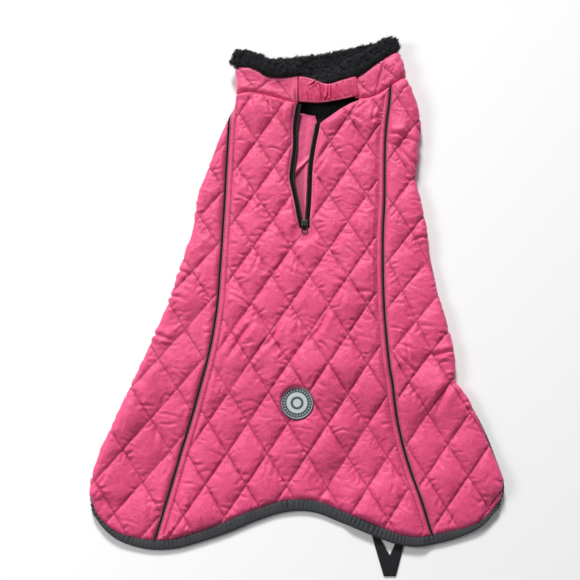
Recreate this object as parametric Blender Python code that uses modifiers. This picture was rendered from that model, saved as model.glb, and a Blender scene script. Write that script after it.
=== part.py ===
"""A quilted winter coat for a dog, zipped down at the neck and laid flat on its belly panel.

The coat is one flattened tube with a cape behind it. Its pieces are drawn in the flat cut: "across" is the
distance over the coat from side to side, "along" runs from the hem (low) to the neck (high). lay() puts a point
of the cut where it lies on the floor: over the top layer, round the fold at either side, or underneath.
All tables are in millimetres; the model is in metres with +Z up and the neck towards +Y.
"""

import math

import bmesh
import bpy
import numpy as np
from mathutils import Vector
from mathutils.geometry import delaunay_2d_cdt

MM = 0.001
CENTRE_ACROSS = 6.26
CENTRE_ALONG = 225.9

WALL = 2.8
PUFF = 2.7
GAP = 0.3
WIDE_GAP = 0.6
HEM_GAP = 0.9
QUILT_STEPS = 3
EDGE_STEP = 9.0
EDGE_MARGIN = 4.5
STATION_CLEAR = 2.5
PUFF_FADE = 9.0
PILLOW_POWER = 0.7
FOLD_FADE = 14.0
FOLD_LINES = (0, 60, 120, 180)
EDGE_REACH = 24.0
BINDING = 9.0
HEM_STEP = 7.0
HEM_TOP = 121.0
NECK_UNDER_LEFT = 443.0
NECK_UNDER_RIGHT = 466.0
BINDING_PROUD = 0.6
BINDING_CHAMFER = 1.2
PIPING = 3.6
PIPING_PROUD = 0.9
PIPING_LOW = 0.4
PIPING_TOP_CLEAR = 2.0
PIPING_HEM_CLEAR = 1.2
COAT_FOOT = -45.0
SEAM_START_LEFT = 448.0
SEAM_START_RIGHT = 452.0
COLLAR_START_LEFT = 484.0
COLLAR_START_RIGHT = 504.0
TAPE = 5.2
TAPE_LOW = 0.5
TAPE_HIGH = 2.0
LINING = 0.9
LINING_FLOOR = WALL + GAP

# Sections of the laid coat, from the hem to the top of the collar. The folds are the coat's outline from above,
# the piping is where the side panels meet the back, "roll" is the radius of the folded edge, and "lift" is how
# high the top layer's inner face lies in the middle.
SECTIONS = (
    # along, left fold, left piping, right piping, right fold, roll, lift
    (-45, -190.0, -135.0, 145.5, 203.0, 5.0, 0.0),
    (-20, -193.5, -128.2, 137.0, 206.5, 5.0, 0.0),
    (2, -195.8, -122.2, 130.6, 207.2, 5.0, 0.0),
    (15, -197.5, -118.6, 126.5, 210.8, 5.0, 0.0),
    (50, -188.5, -109.5, 115.8, 203.2, 5.0, 0.3),
    (85, -174.0, -99.5, 108.5, 189.7, 5.5, 2.5),
    (107, -165.2, -93.6, 105.8, 178.0, 6.0, 5.0),
    (120, -160.6, -90.3, 104.6, 168.4, 6.0, 6.2),
    (135, -155.0, -86.5, 102.3, 168.2, 6.0, 7.3),
    (160, -145.5, -81.2, 100.2, 166.0, 6.0, 7.9),
    (200, -127.5, -75.8, 98.2, 158.8, 6.0, 8.1),
    (240, -115.5, -73.5, 98.2, 152.4, 6.0, 8.1),
    (280, -106.5, -71.8, 99.4, 146.2, 6.0, 8.1),
    (320, -99.5, -70.2, 102.3, 141.3, 6.0, 8.0),
    (350, -90.5, -69.3, 103.4, 137.0, 6.0, 8.0),
    (380, -81.0, -68.1, 104.6, 141.6, 6.6, 8.4),
    (410, -70.6, -66.8, 107.3, 143.4, 7.6, 10.4),
    (430, -61.4, -65.2, 110.2, 140.2, 8.6, 12.4),
    (450, -59.8, -63.5, 112.0, 134.4, 9.5, 14.0),
    (480, -62.2, -62.0, 113.0, 126.8, 10.0, 14.6),
    (525, -61.5, -61.0, 114.0, 121.6, 9.0, 13.0),
)

# How far the cape's edge runs on past the coat's outline, curling under.
CURL = (
    # along, left, right
    (-50, 0.0, 0.0),
    (-10, 0.0, 0.0),
    (5, 1.5, 1.0),
    (20, 10.5, 6.0),
    (55, 13.0, 6.5),
    (85, 15.0, 7.0),
    (100, 20.0, 9.0),
    (110, 30.0, 15.0),
    (117, 46.0, 32.0),
    (121, 72.0, 62.0),
)

# The cape's hem between the two curled edges, outer edge of the binding.
HEM = (
    # across, along
    (-190.5, -9.6),
    (-181.5, -20.8),
    (-168.3, -31.0),
    (-154.5, -36.5),
    (-135.0, -40.2),
    (-112.0, -39.3),
    (-87.0, -33.0),
    (-60.0, -24.3),
    (-33.0, -13.4),
    (-6.0, -5.3),
    (8.0, -3.9),
    (22.0, -5.0),
    (48.6, -14.2),
    (75.6, -25.0),
    (102.4, -34.7),
    (122.0, -37.6),
    (143.0, -34.7),
    (170.5, -27.0),
    (186.0, -19.6),
    (201.0, -4.9),
)

# How wide the binding shows along the hem: it narrows where the cape's corners start to curl under.
HEM_BINDING = (
    # across, width
    (-200, 4.0),
    (-190, 3.5),
    (-181, 5.0),
    (-168, 7.0),
    (-154, 8.5),
    (-140, 9.0),
    (145, 9.0),
    (158, 8.5),
    (176, 6.5),
    (188, 5.0),
    (201, 3.5),
    (210, 4.0),
)
CURL_WIDTH_START = 3.0
CURL_WIDTH_OVER = 16.0

# Where the belly panel meets the side panels, underneath.
BELLY_SEAMS = (
    # along, left, right
    (115, -86.0, 106.0),
    (200, -70.0, 101.0),
    (300, -52.0, 98.0),
    (400, -38.0, 100.0),
    (450, -26.0, 106.0),
    (470, -24.0, 108.0),
    (520, -22.0, 110.0),
)

# Seam between body and collar, and the collar's upper edge, left and right of the zip.
NECK_SEAM_LEFT = (
    # across, along
    (-130, 443.0),
    (-62, 444.0),
    (-38, 444.0),
    (-17, 439.6),
    (1, 434.6),
    (12, 432.2),
)
NECK_SEAM_RIGHT = (
    # across, along
    (70, 438.0),
    (90, 439.6),
    (97, 442.4),
    (112, 452.0),
    (129, 462.6),
    (150, 465.4),
    (165, 466.0),
    (180, 466.0),
    (200, 466.0),
)
COLLAR_TOP_LEFT = (
    # across, along
    (-130, 482.0),
    (-75, 476.4),
    (-57, 474.2),
    (-40, 472.4),
    (-25, 463.8),
    (-12, 462.6),
    (12, 465.4),
)
COLLAR_TOP_RIGHT = (
    # across, along
    (70, 460.4),
    (76, 463.2),
    (86, 471.0),
    (97, 479.2),
    (109, 486.8),
    (121, 493.8),
    (140, 498.6),
    (200, 500.6),
)
COLLAR_END_LEFT = 9.4
COLLAR_END_RIGHT = 76.6

# The zip's opening in the back: the panel's two edges, and its upper right edge up to the collar.
ZIP_EDGES = (
    # along, left, right
    (287, 10.6, 20.9),
    (298, 8.0, 21.2),
    (314, 5.4, 22.5),
    (330, 2.2, 23.4),
    (344, -0.4, 24.0),
    (356, 0.5, 24.7),
    (378, 3.2, 27.6),
    (408, 3.9, 33.3),
    (440, 9.2, 38.0),
)
OPENING_EDGE = (
    # across, along
    (77.0, 436.0),
    (67.0, 432.0),
    (55.7, 425.4),
    (44.5, 417.2),
    (35.0, 410.2),
)
ZIP_FOOT = (15.6, 284.4)
TAPE_FOOT = 289.0
SLIT_FOOT = 287.0
ZIP_FLAT = 8.0
TAPE_TOP_LEFT = 431.0
TAPE_TOP_RIGHT = 408.0

# Quilting: a crossing of the stitch lines, and the steps to the next crossing down left and down right.
LATTICES = {
    # panel: (across, along, left across, left along, right across, right along)
    "back": (-2.2, 80.4, -20.7, -30.3, 19.5, -31.1),
    "left": (-140.5, 84.8, -26.0, -30.5, 20.0, -31.0),
    "right": (139.6, 90.5, -22.6, -31.0, 18.5, -31.0),
    "collar": (-22.0, 452.0, -21.0, -28.0, 21.0, -28.0),
}

# The largest folds in the top layer: soft ridges (height above zero) and troughs.
FOLDS = (
    # across, along, direction in degrees, half length, half width, height
    (121, 396, 62, 24, 8, 3.0),
    (128, 378, -28, 18, 8, -2.6),
    (28, 262, -42, 26, 8, 2.4),
    (-40, 424, -58, 40, 9, 2.0),
    (-22, 396, -70, 30, 9, -1.6),
    (-132, 168, 24, 20, 8, 2.2),
    (-120, 208, -20, 18, 8, 1.8),
    (-148, 128, 38, 20, 9, 1.8),
    (150, 118, 50, 28, 9, 2.8),
    (136, 140, 20, 24, 9, -2.2),
    (64, 238, 30, 30, 12, 1.6),
    (-44, 150, 52, 40, 14, 1.8),
    (40, 60, 56, 46, 14, 1.6),
    (-150, 40, 52, 30, 12, 1.8),
    (176, 52, -50, 30, 12, 1.8),
)

BADGE_CENTRE = (7.1, 100.3)
BADGE_RADIUS = 16.8
BADGE_SEAT = 1.4
BADGE_THICKNESS = 1.6
BADGE_SIDES = 24
BADGE_CLEAR = 20.0
BADGE_BLEND = 8.0

# The elastic loop under the hem, and how the hem rises over it.
STRAP_THICKNESS = 1.2
STRAP_RISE = 2.3
STRAP_SPAN = (62.0, 128.0)
STRAP_TOP = 8.0
STRAP_SIDE_BLEND = 12.0
STRAP_TOP_BLEND = 22.0
STRAP_OUTLINE = (
    # across, along
    (78.0, -8.0),
    (79.5, -25.4),
    (90.8, -65.7),
    (102.3, -65.7),
    (111.0, -37.4),
    (112.5, -14.0),
    (104.5, -14.0),
    (103.4, -34.7),
    (97.2, -46.5),
    (87.1, -29.1),
    (85.6, -8.0),
)

# The pink strip behind the zip: its upper stretch, and the lower one that it folds over.
GUARD_UPPER = (
    # across, along
    (5.0, 425.0),
    (16.0, 423.6),
    (22.8, 421.4),
    (28.4, 421.2),
    (29.8, 415.0),
    (30.5, 403.0),
    (28.0, 385.0),
    (25.0, 371.5),
    (19.0, 364.0),
    (-1.0, 343.0),
    (1.0, 372.0),
    (2.5, 405.0),
)
GUARD_LOWER = (
    # across, along
    (0.5, 356.0),
    (23.0, 368.0),
    (22.0, 340.0),
    (19.0, 292.0),
    (10.5, 292.0),
    (3.0, 330.0),
)
GUARD_THICKNESS = 0.9
GUARD_LOWER_FLOOR = LINING_FLOOR + LINING + GAP
GUARD_UPPER_FLOOR = GUARD_LOWER_FLOOR + GUARD_THICKNESS + GAP

LINING_OUTLINE = (
    # across, along
    (-4.0, 284.0),
    (34.0, 284.0),
    (50.0, 360.0),
    (86.0, 428.0),
    (86.0, 439.0),
    (-4.0, 437.0),
    (-8.0, 350.0),
)

# The band over the leash opening: its lower and upper edge, and how far each gather stands up.
TAB = (
    # across, lower edge, upper edge, gather
    (9.8, 434.2, 463.4, 0.0),
    (16.0, 433.6, 462.6, 0.2),
    (22.0, 433.2, 461.2, 1.6),
    (27.0, 432.8, 459.4, 0.4),
    (32.0, 432.8, 457.2, 1.9),
    (37.0, 433.2, 455.2, 0.3),
    (42.0, 433.6, 454.2, 2.0),
    (47.0, 434.4, 454.8, 0.3),
    (52.0, 435.4, 456.4, 1.3),
    (58.0, 436.8, 458.4, 0.6),
    (66.0, 438.4, 460.4, 0.9),
    (70.0, 439.2, 461.2, 0.2),
    (76.1, 440.4, 462.4, 0.5),
)

# Sherpa lining of the collar: rolls of pile, one row for each section.
PILE_FRONT_LEFT = (
    # across, lower edge, upper edge, lowest, highest
    (-66.0, 480.6, 487.0, 9.0, 15.0),
    (-63.0, 478.8, 492.6, 7.0, 19.0),
    (-55.0, 475.8, 495.4, 8.5, 21.0),
    (-46.0, 474.4, 494.4, 9.6, 22.0),
    (-35.0, 471.0, 489.8, 9.6, 22.5),
    (-22.0, 464.2, 483.6, 9.6, 22.5),
    (-8.0, 463.8, 484.0, 9.6, 22.0),
    (4.0, 465.2, 482.4, 9.6, 21.0),
    (11.5, 466.8, 480.4, 10.2, 19.0),
)
PILE_FRONT_RIGHT = (
    # across, lower edge, upper edge, lowest, highest
    (44.0, 459.4, 466.0, 9.6, 13.0),
    (58.0, 461.8, 479.0, 9.6, 17.0),
    (75.0, 464.8, 488.5, 9.6, 20.0),
    (90.0, 475.4, 497.5, 9.6, 21.5),
    (105.0, 485.6, 506.5, 9.6, 21.5),
    (116.0, 492.6, 511.5, 9.6, 20.0),
    (123.5, 498.0, 510.0, 9.8, 15.0),
)
PILE_BACK = (
    # across, lower edge, upper edge, lowest, highest
    (-50.0, 456.0, 484.0, 3.4, 7.6),
    (-40.0, 449.0, 487.5, 3.1, 8.6),
    (-10.0, 442.0, 490.0, 3.1, 8.7),
    (15.0, 440.0, 494.0, 3.1, 8.7),
    (35.0, 440.5, 496.5, 3.1, 8.7),
    (57.0, 443.0, 501.5, 3.1, 8.7),
    (80.0, 447.0, 506.5, 3.1, 8.7),
    (103.0, 456.0, 513.0, 3.1, 8.7),
    (110.5, 469.0, 517.5, 3.3, 8.6),
    (117.6, 507.5, 517.0, 4.0, 8.0),
)
PILE_SIDES = 12
PILE_POWER = 0.7

# The zip's slider and pull, at the foot of the zip.
SLIDER_AT = (15.6, 291.6)
SLIDER_SIZE = (7.4, 8.0, 2.4)
SLIDER_ROUNDING = 0.7
BAIL_SUNK = 0.4
BAIL_WIDTH = 1.5
BAIL_LEG = 1.0
BAIL_TOP = 1.0
PULL_WIRE = 0.65
PULL_BEHIND = 2.2
PULL_DROOP = 9.0
PULL_CLEAR = 0.35
PULL_LOOP = (
    # across, along, from the hinge
    (-1.5, 0.0),
    (1.5, 0.0),
    (2.6, -1.4),
    (3.0, -3.6),
    (3.3, -5.8),
    (2.6, -7.9),
    (0.0, -8.9),
    (-2.6, -7.9),
    (-3.3, -5.8),
    (-3.0, -3.6),
    (-2.6, -1.4),
)

PINK = (0.80, 0.09, 0.27)
CHARCOAL = (0.035, 0.035, 0.04)
BLACK = (0.010, 0.010, 0.012)
GREY = (0.095, 0.095, 0.105)
PALE_GREY = (0.36, 0.38, 0.40)

MATERIALS = {
    # name: (colour, roughness, metallic)
    "pink_shell": (PINK, 0.5, 0.0),
    "sherpa": (CHARCOAL, 0.95, 0.0),
    "black_lining": (BLACK, 0.8, 0.0),
    "black_tape": (BLACK, 0.7, 0.0),
    "grey_binding": (GREY, 0.75, 0.0),
    "reflective_piping": (GREY, 0.35, 0.2),
    "badge_rubber": (PALE_GREY, 0.6, 0.0),
    "black_elastic": (BLACK, 0.85, 0.0),
    "slider_metal": (BLACK, 0.35, 0.9),
}


# ------------------------------------------------------------------ the laid form


def through(rows, column, at=0):
    """A smooth function through two columns of a table."""
    place = np.array([row[at] for row in rows], float)
    value = np.array([row[column] for row in rows], float)
    slope = np.gradient(value, place)

    def read(where):
        where = np.clip(where, place[0], place[-1])
        step = np.clip(np.searchsorted(place, where) - 1, 0, len(place) - 2)
        length = place[step + 1] - place[step]
        part = (where - place[step]) / length
        rest = 1 - part
        ends = value[step] * rest * rest * (1 + 2 * part) + value[step + 1] * part * part * (1 + 2 * rest)
        return ends + length * part * rest * (slope[step] * rest - slope[step + 1] * part)

    return read


LEFT_FOLD = through(SECTIONS, 1)
LEFT_PIPING = through(SECTIONS, 2)
RIGHT_PIPING = through(SECTIONS, 3)
RIGHT_FOLD = through(SECTIONS, 4)
ROLL = through(SECTIONS, 5)
LIFT = through(SECTIONS, 6)
LEFT_CURL = through(CURL, 1)
RIGHT_CURL = through(CURL, 2)
LEFT_BELLY = through(BELLY_SEAMS, 1)
RIGHT_BELLY = through(BELLY_SEAMS, 2)
LOW_HEM = through(HEM, 1)
SHOWN_BINDING = through(HEM_BINDING, 1)
LEFT_ZIP = through(ZIP_EDGES, 1)
RIGHT_ZIP = through(ZIP_EDGES, 2)
SEAM_LEFT = through(NECK_SEAM_LEFT, 1)
SEAM_RIGHT = through(NECK_SEAM_RIGHT, 1)
TOP_LEFT = through(COLLAR_TOP_LEFT, 1)
TOP_RIGHT = through(COLLAR_TOP_RIGHT, 1)


def smooth_step(value):
    value = np.clip(value, 0, 1)
    return value * value * (3 - 2 * value)


def fold_height(along, curl):
    """Height of the centre of a folded edge: the coat's folds roll right under, the cape's edge just touches."""
    roll = ROLL(along)
    turn = np.clip(math.pi / 2 + curl(along) / (roll - WALL / 2), math.pi / 2, math.pi)
    return np.where(along > CURL[-1][0], roll, -roll * np.cos(turn))


def relief(across, along):
    """Height of the largest folds in the top layer."""
    total = np.zeros(np.broadcast(across, along).shape)
    for fold_across, fold_along, degrees, half_length, half_width, height in FOLDS:
        turn = math.radians(degrees)
        over = (across - fold_across) * math.cos(turn) + (along - fold_along) * math.sin(turn)
        beside = (along - fold_along) * math.cos(turn) - (across - fold_across) * math.sin(turn)
        total = total + height * np.exp(-((over / half_length) ** 2) - (beside / half_width) ** 2)
    return total


def strap_rise(across, along):
    """The hem lies over the elastic loop that is sewn under it."""
    low, high = STRAP_SPAN
    sides = smooth_step((across - low) / STRAP_SIDE_BLEND + 1) * smooth_step((high - across) / STRAP_SIDE_BLEND + 1)
    return STRAP_RISE * sides * smooth_step((STRAP_TOP - along) / STRAP_TOP_BLEND + 1)


def rise(across, along):
    """Height of the top layer's inner face above the floor."""
    roll = ROLL(along)
    middle = LIFT(along)
    from_left = np.maximum(across - LEFT_FOLD(along) - roll, 0)
    from_right = np.maximum(RIGHT_FOLD(along) - roll - across, 0)
    left = (fold_height(along, LEFT_CURL) + roll - WALL - middle) * np.exp(-((from_left / EDGE_REACH) ** 2))
    right = (fold_height(along, RIGHT_CURL) + roll - WALL - middle) * np.exp(-((from_right / EDGE_REACH) ** 2))
    inside = smooth_step(np.minimum(from_left, from_right) / FOLD_FADE)
    folds = relief(across, along) * inside
    return np.maximum(middle + left + right + folds, 0) + strap_rise(across, along)


def lay(across, along, height):
    """Where a point of the flat cut lies, with its height above the cloth's inner face."""
    across, along, height = np.broadcast_arrays(*(np.asarray(v, float) for v in (across, along, height)))
    roll = ROLL(along)
    left = LEFT_FOLD(along) + roll
    right = RIGHT_FOLD(along) - roll
    on_left = across < left
    side = np.where(on_left, -1, 1)
    beyond = np.where(on_left, left - across, across - right)
    turn = np.clip(beyond / (roll - WALL / 2), 0, math.pi)
    after = beyond - turn * (roll - WALL / 2)
    radius = roll - WALL + height
    centre = np.where(on_left, fold_height(along, LEFT_CURL), fold_height(along, RIGHT_CURL))
    round_x = np.where(on_left, left, right) + side * (radius * np.sin(turn) - after)
    round_z = np.maximum(centre + radius * np.cos(turn), 0)
    on_top = beyond <= 0
    x = np.where(on_top, across, round_x)
    z = np.where(on_top, np.maximum(rise(across, along) + height, 0), round_z)
    return np.stack([x, along, z], axis=-1)


def outline_across(along, side):
    """The place in the flat cut of the coat's outline, a quarter of the way round its fold."""
    roll = ROLL(along)
    quarter = (roll - WALL / 2) * math.pi / 2
    if side == "left":
        return LEFT_FOLD(along) + roll - quarter
    return RIGHT_FOLD(along) - roll + quarter


def under_across(x, along, side):
    """The place in the flat cut of a point that lies underneath at x."""
    roll = ROLL(along)
    half_turn = (roll - WALL / 2) * math.pi
    if side == "left":
        fold = LEFT_FOLD(along) + roll
        return fold - half_turn - (x - fold)
    fold = RIGHT_FOLD(along) - roll
    return fold + half_turn + (fold - x)


# ------------------------------------------------------------------ lines of the flat cut


def spread(points, step):
    """Points along a polyline, evenly spaced and no further than step apart."""
    points = np.asarray(points, float)
    length = np.concatenate([[0], np.cumsum(np.linalg.norm(np.diff(points, axis=0), axis=1))])
    count = max(2, math.ceil(length[-1] / step) + 1)
    at = np.linspace(0, length[-1], count)
    return np.stack([np.interp(at, length, points[:, 0]), np.interp(at, length, points[:, 1])], axis=1)


def rounded(points, step):
    """A smooth line through points, spread evenly."""
    points = np.asarray(points, float)
    length = np.concatenate([[0], np.cumsum(np.linalg.norm(np.diff(points, axis=0), axis=1))])
    rows = np.column_stack([length, points])
    at = np.linspace(0, length[-1], max(2, math.ceil(length[-1] / 2)))
    return spread(np.stack([through(rows, 1)(at), through(rows, 2)(at)], axis=1), step)


def stations(low, high, step):
    """Places from low to high that fall on whole steps, so that neighbouring pieces share them."""
    first, last = sorted((low, high))
    whole = np.arange(math.ceil(first / step), math.floor(last / step) + 1) * step
    whole = whole[(whole > first + STATION_CLEAR) & (whole < last - STATION_CLEAR)]
    found = np.concatenate([[first], whole, [last]])
    return found if high > low else found[::-1]


def column(across, low, high, step=EDGE_STEP):
    """A line that runs along the coat, from one place to another."""
    at = stations(low, high, step)
    return np.stack([across(at), at], axis=1)


def row(along, low, high, step=EDGE_STEP):
    """A line that runs across the coat."""
    at = stations(low, high, step)
    return np.stack([at, along(at)], axis=1)


def joined(*lines):
    """Lines end to end as one loop, without points that nearly coincide."""
    points = np.vstack(lines)
    keep = [points[0]]
    for point in points[1:]:
        if np.linalg.norm(point - keep[-1]) > 1.0:
            keep.append(point)
    if np.linalg.norm(keep[0] - keep[-1]) <= 1.0:
        keep.pop()
    return np.array(keep)


def moved_in(line, distance):
    """A line moved to its left by a distance."""
    ahead = np.gradient(line, axis=0)
    ahead /= np.linalg.norm(ahead, axis=1)[:, None]
    return line + distance * np.stack([-ahead[:, 1], ahead[:, 0]], axis=1)


def kept(line, measure):
    """The stretch of a line where measure is positive, cut where it changes sign."""
    value = np.array([float(measure(*point)) for point in line])
    found = []
    for i in range(len(line)):
        if i and value[i - 1] * value[i] < 0:
            part = value[i - 1] / (value[i - 1] - value[i])
            found.append(line[i - 1] + part * (line[i] - line[i - 1]))
        if value[i] > 0:
            found.append(line[i])
    return np.array(found)


def hem_line():
    """The outer edge of the hem's binding, from the left belly seam round the cape to the right one."""
    curled = [row for row in CURL[:-1] if row[0] > 0]
    left = [(outline_across(y, "left") - over, y) for y, over, _ in curled]
    right = [(outline_across(y, "right") + over, y) for y, _, over in curled]
    left_end = under_across(LEFT_BELLY(HEM_TOP) - GAP / 2, HEM_TOP, "left")
    right_end = under_across(RIGHT_BELLY(HEM_TOP) + GAP / 2, HEM_TOP, "right")
    start = [(left_end, HEM_TOP), (left_end + 10, HEM_TOP)]
    end = [(right_end - 10, HEM_TOP), (right_end, HEM_TOP)]
    return rounded(start + left[::-1] + list(HEM) + right + end, HEM_STEP)


def binding_width(line):
    """Width of the binding along the hem."""
    under = smooth_step((line[:, 1] - CURL_WIDTH_START) / CURL_WIDTH_OVER)
    return SHOWN_BINDING(line[:, 0]) * (1 - under) + BINDING * under


def meeting(across, along, start):
    """The place along the coat where a line along it meets a line across it."""
    place = start
    for _ in range(30):
        place = float(along(across(place)))
    return place


def inside_loop(points, loop):
    """Which points lie inside a closed outline."""
    x, y = points[:, 0][:, None], points[:, 1][:, None]
    start, end = loop, np.roll(loop, -1, axis=0)
    spans = (start[:, 1] > y) != (end[:, 1] > y)
    with np.errstate(divide="ignore", invalid="ignore"):
        crossing = start[:, 0] + (y - start[:, 1]) * (end[:, 0] - start[:, 0]) / (end[:, 1] - start[:, 1])
    return (spans & (x < crossing)).sum(axis=1) % 2 == 1


def distance_to(points, loop):
    """Distance from points to a closed outline."""
    start, end = loop, np.roll(loop, -1, axis=0)
    side = end - start
    away = points[:, None, :] - start
    part = np.clip((away * side).sum(-1) / (side * side).sum(-1), 0, 1)
    return np.linalg.norm(away - part[..., None] * side, axis=-1).min(axis=1)


# ------------------------------------------------------------------ quilting


def quilt_points(lattice, loop):
    """Crossings of the quilting's stitch lines and the points between them that lie well inside an outline."""
    across, along, left_x, left_y, right_x, right_y = LATTICES[lattice]
    low, high = loop.min(axis=0), loop.max(axis=0)
    reach = math.ceil((np.ptp(loop, axis=0).sum() / abs(left_y) + abs(along - low[1]) / abs(left_y)) * QUILT_STEPS)
    count = np.arange(-reach, reach + 1) / QUILT_STEPS
    left, right = (steps.ravel() for steps in np.meshgrid(count, count))
    points = np.stack(
        [across + left * left_x + right * right_x, along + left * left_y + right * right_y], axis=1
    )
    points = points[((points > low) & (points < high)).all(axis=1)]
    points = points[inside_loop(points, loop)]
    return points[distance_to(points, loop) > EDGE_MARGIN]


def quilt_height(points, lattice, loop):
    """Height of the padding over the stitch lines, flat at the piece's own edge, at folds and under the badge."""
    across, along, left_x, left_y, right_x, right_y = LATTICES[lattice]
    area = left_x * right_y - right_x * left_y
    x, y = points[:, 0] - across, points[:, 1] - along
    left = (x * right_y - y * right_x) / area
    right = (y * left_x - x * left_y) / area
    pillow = np.abs(np.sin(math.pi * left) * np.sin(math.pi * right)) ** PILLOW_POWER
    edge = smooth_step(distance_to(points, loop) / PUFF_FADE)
    roll = ROLL(points[:, 1])
    past = np.maximum(
        LEFT_FOLD(points[:, 1]) + roll - points[:, 0], points[:, 0] - RIGHT_FOLD(points[:, 1]) + roll
    )
    fold = 1 - smooth_step((past / (roll - WALL / 2) - 0.9) / 1.2)
    height = PUFF * pillow * edge * fold
    foot = np.hypot(points[:, 0] - ZIP_FOOT[0], points[:, 1] - ZIP_FOOT[1] + ZIP_FLAT / 2)
    height = height * smooth_step(foot / ZIP_FLAT - 1)
    from_badge = np.hypot(points[:, 0] - BADGE_CENTRE[0], points[:, 1] - BADGE_CENTRE[1])
    seat = smooth_step((BADGE_CLEAR - from_badge) / BADGE_BLEND + 1)
    return height * (1 - seat) + BADGE_SEAT * seat


# ------------------------------------------------------------------ solids


def material(name):
    found = bpy.data.materials.get(name)
    if found:
        return found
    colour, roughness, metallic = MATERIALS[name]
    made = bpy.data.materials.new(name)
    made.use_nodes = True
    shader = made.node_tree.nodes["Principled BSDF"]
    shader.inputs["Base Color"].default_value = (*colour, 1)
    shader.inputs["Roughness"].default_value = roughness
    shader.inputs["Metallic"].default_value = metallic
    made.diffuse_color = (*colour, 1)
    return made


def metres(points):
    return (np.asarray(points) - (CENTRE_ACROSS, CENTRE_ALONG, 0)) * MM


def add_object(name, data, finish):
    made = bpy.data.objects.new(name, data)
    data.materials.append(material(finish))
    COAT.objects.link(made)
    return made


def add_mesh(name, points, faces, finish, smooth=True):
    """A mesh object from points in millimetres, its faces all turned outwards."""
    data = bpy.data.meshes.new(name)
    data.from_pydata(metres(points).tolist(), [], faces)
    mesh = bmesh.new()
    mesh.from_mesh(data)
    bmesh.ops.recalc_face_normals(mesh, faces=mesh.faces)
    mesh.to_mesh(data)
    mesh.free()
    if smooth:
        data.shade_smooth()
        data.set_sharp_from_angle(angle=math.radians(50))
    return add_object(name, data, finish)


def add_sheet(name, loop, inside, low, high, finish, place=lay):
    """A closed solid over an outline of the flat cut, between two heights above the cloth's inner face."""
    points = np.vstack([loop, inside]) if len(inside) else loop
    edges = [(i, (i + 1) % len(loop)) for i in range(len(loop))]
    made = delaunay_2d_cdt([Vector(point) for point in points], edges, [], 0, 1e-4)
    flat = np.array([tuple(point) for point in made[0]])
    faces = np.array(made[2])
    faces = faces[inside_loop(flat[faces].mean(axis=1), loop)]
    used = np.unique(faces)
    flat = flat[used]
    faces = np.searchsorted(used, faces)
    count = len(flat)
    directed = np.concatenate([faces[:, [0, 1]], faces[:, [1, 2]], faces[:, [2, 0]]])
    pairs = {tuple(edge) for edge in directed.tolist()}
    walls = [(b, a, a + count, b + count) for a, b in pairs if (b, a) not in pairs]
    over = place(flat[:, 0], flat[:, 1], high(flat) if callable(high) else high)
    under = place(flat[:, 0], flat[:, 1], low)
    under_faces = [tuple(int(i) + count for i in face[::-1]) for face in faces]
    return add_mesh(name, np.vstack([over, under]), faces.tolist() + under_faces + walls, finish)


def flat_on_floor(across, along, height):
    """Where a point of a piece lies that rests inside or under the coat, parallel to the floor."""
    return np.stack(np.broadcast_arrays(across, along, height), axis=-1)


def add_quilted(name, loop, lattice, seats=()):
    """A quilted panel: plain inside, padded outside, with lines of points round its folds."""
    inside = quilt_points(lattice, loop)
    inside = inside[abs(lay(inside[:, 0], inside[:, 1], WALL)[:, 2]) > 1.0] if len(inside) else inside
    for lines in [*fold_points(loop), *seats]:
        near = np.linalg.norm(inside[:, None] - lines[None], axis=-1).min(axis=1) < EDGE_MARGIN
        inside = np.vstack([inside[~near], lines])
    return add_sheet(
        name, loop, inside, 0.0, lambda flat: WALL + quilt_height(flat, lattice, loop), "pink_shell"
    )


def fold_points(loop):
    """Lines of points where a panel's fold begins, turns and ends."""
    low, high = loop[:, 1].min(), loop[:, 1].max()
    for side, fold, sign in (("left", LEFT_FOLD, -1), ("right", RIGHT_FOLD, 1)):
        for degrees in FOLD_LINES:

            def across(at, fold=fold, sign=sign, degrees=degrees):
                roll = ROLL(at)
                return fold(at) - sign * roll + sign * (roll - WALL / 2) * math.radians(degrees)

            line = column(across, low, high, 12.0)
            line = line[inside_loop(line, loop)]
            if len(line):
                line = line[distance_to(line, loop) > 3.0]
            if len(line):
                yield line


def strip_rings(line, ring, widths=None):
    """Rings in the flat cut along a line of it, from (distance left of the line, height) points, narrowed by widths."""
    widths = np.ones(len(line)) if widths is None else widths
    ahead = np.gradient(line, axis=0)
    ahead /= np.linalg.norm(ahead, axis=1)[:, None]
    beside = np.stack([-ahead[:, 1], ahead[:, 0]], axis=1)
    return np.array(
        [
            [(*(at + away * width * side), height) for away, height in ring]
            for at, side, width in zip(line, beside, widths)
        ]
    )


def add_strip(name, rings, finish):
    """A closed strip through rings of the flat cut."""
    return add_loft(name, lay(rings[..., 0], rings[..., 1], rings[..., 2]), finish)


def add_loft(name, rings, finish):
    """A closed solid through rings of points, capped at both ends."""
    count, size = rings.shape[:2]
    faces = [
        (i * size + j, i * size + (j + 1) % size, (i + 1) * size + (j + 1) % size, (i + 1) * size + j)
        for i in range(count - 1)
        for j in range(size)
    ]
    faces.append(tuple(range(size))[::-1])
    faces.append(tuple((count - 1) * size + j for j in range(size)))
    return add_mesh(name, rings.reshape(-1, 3), faces, finish)


def add_pile(name, rows):
    """A roll of sherpa: a rounded section for each row of its table."""
    turns = np.arange(PILE_SIDES) * 2 * math.pi / PILE_SIDES
    cosine, sine = np.cos(turns), np.sin(turns)
    wide = np.sign(cosine) * np.abs(cosine) ** PILE_POWER
    tall = np.sign(sine) * np.abs(sine) ** PILE_POWER
    rings = []
    for across, low, high, bottom, top in rows:
        along = (low + high) / 2 + wide * (high - low) / 2
        height = (bottom + top) / 2 + tall * (top - bottom) / 2
        rings.append(np.stack([np.full(PILE_SIDES, across), along, height], axis=1))
    return add_loft(name, np.array(rings), "sherpa")


# ------------------------------------------------------------------ the coat's pieces


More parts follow.
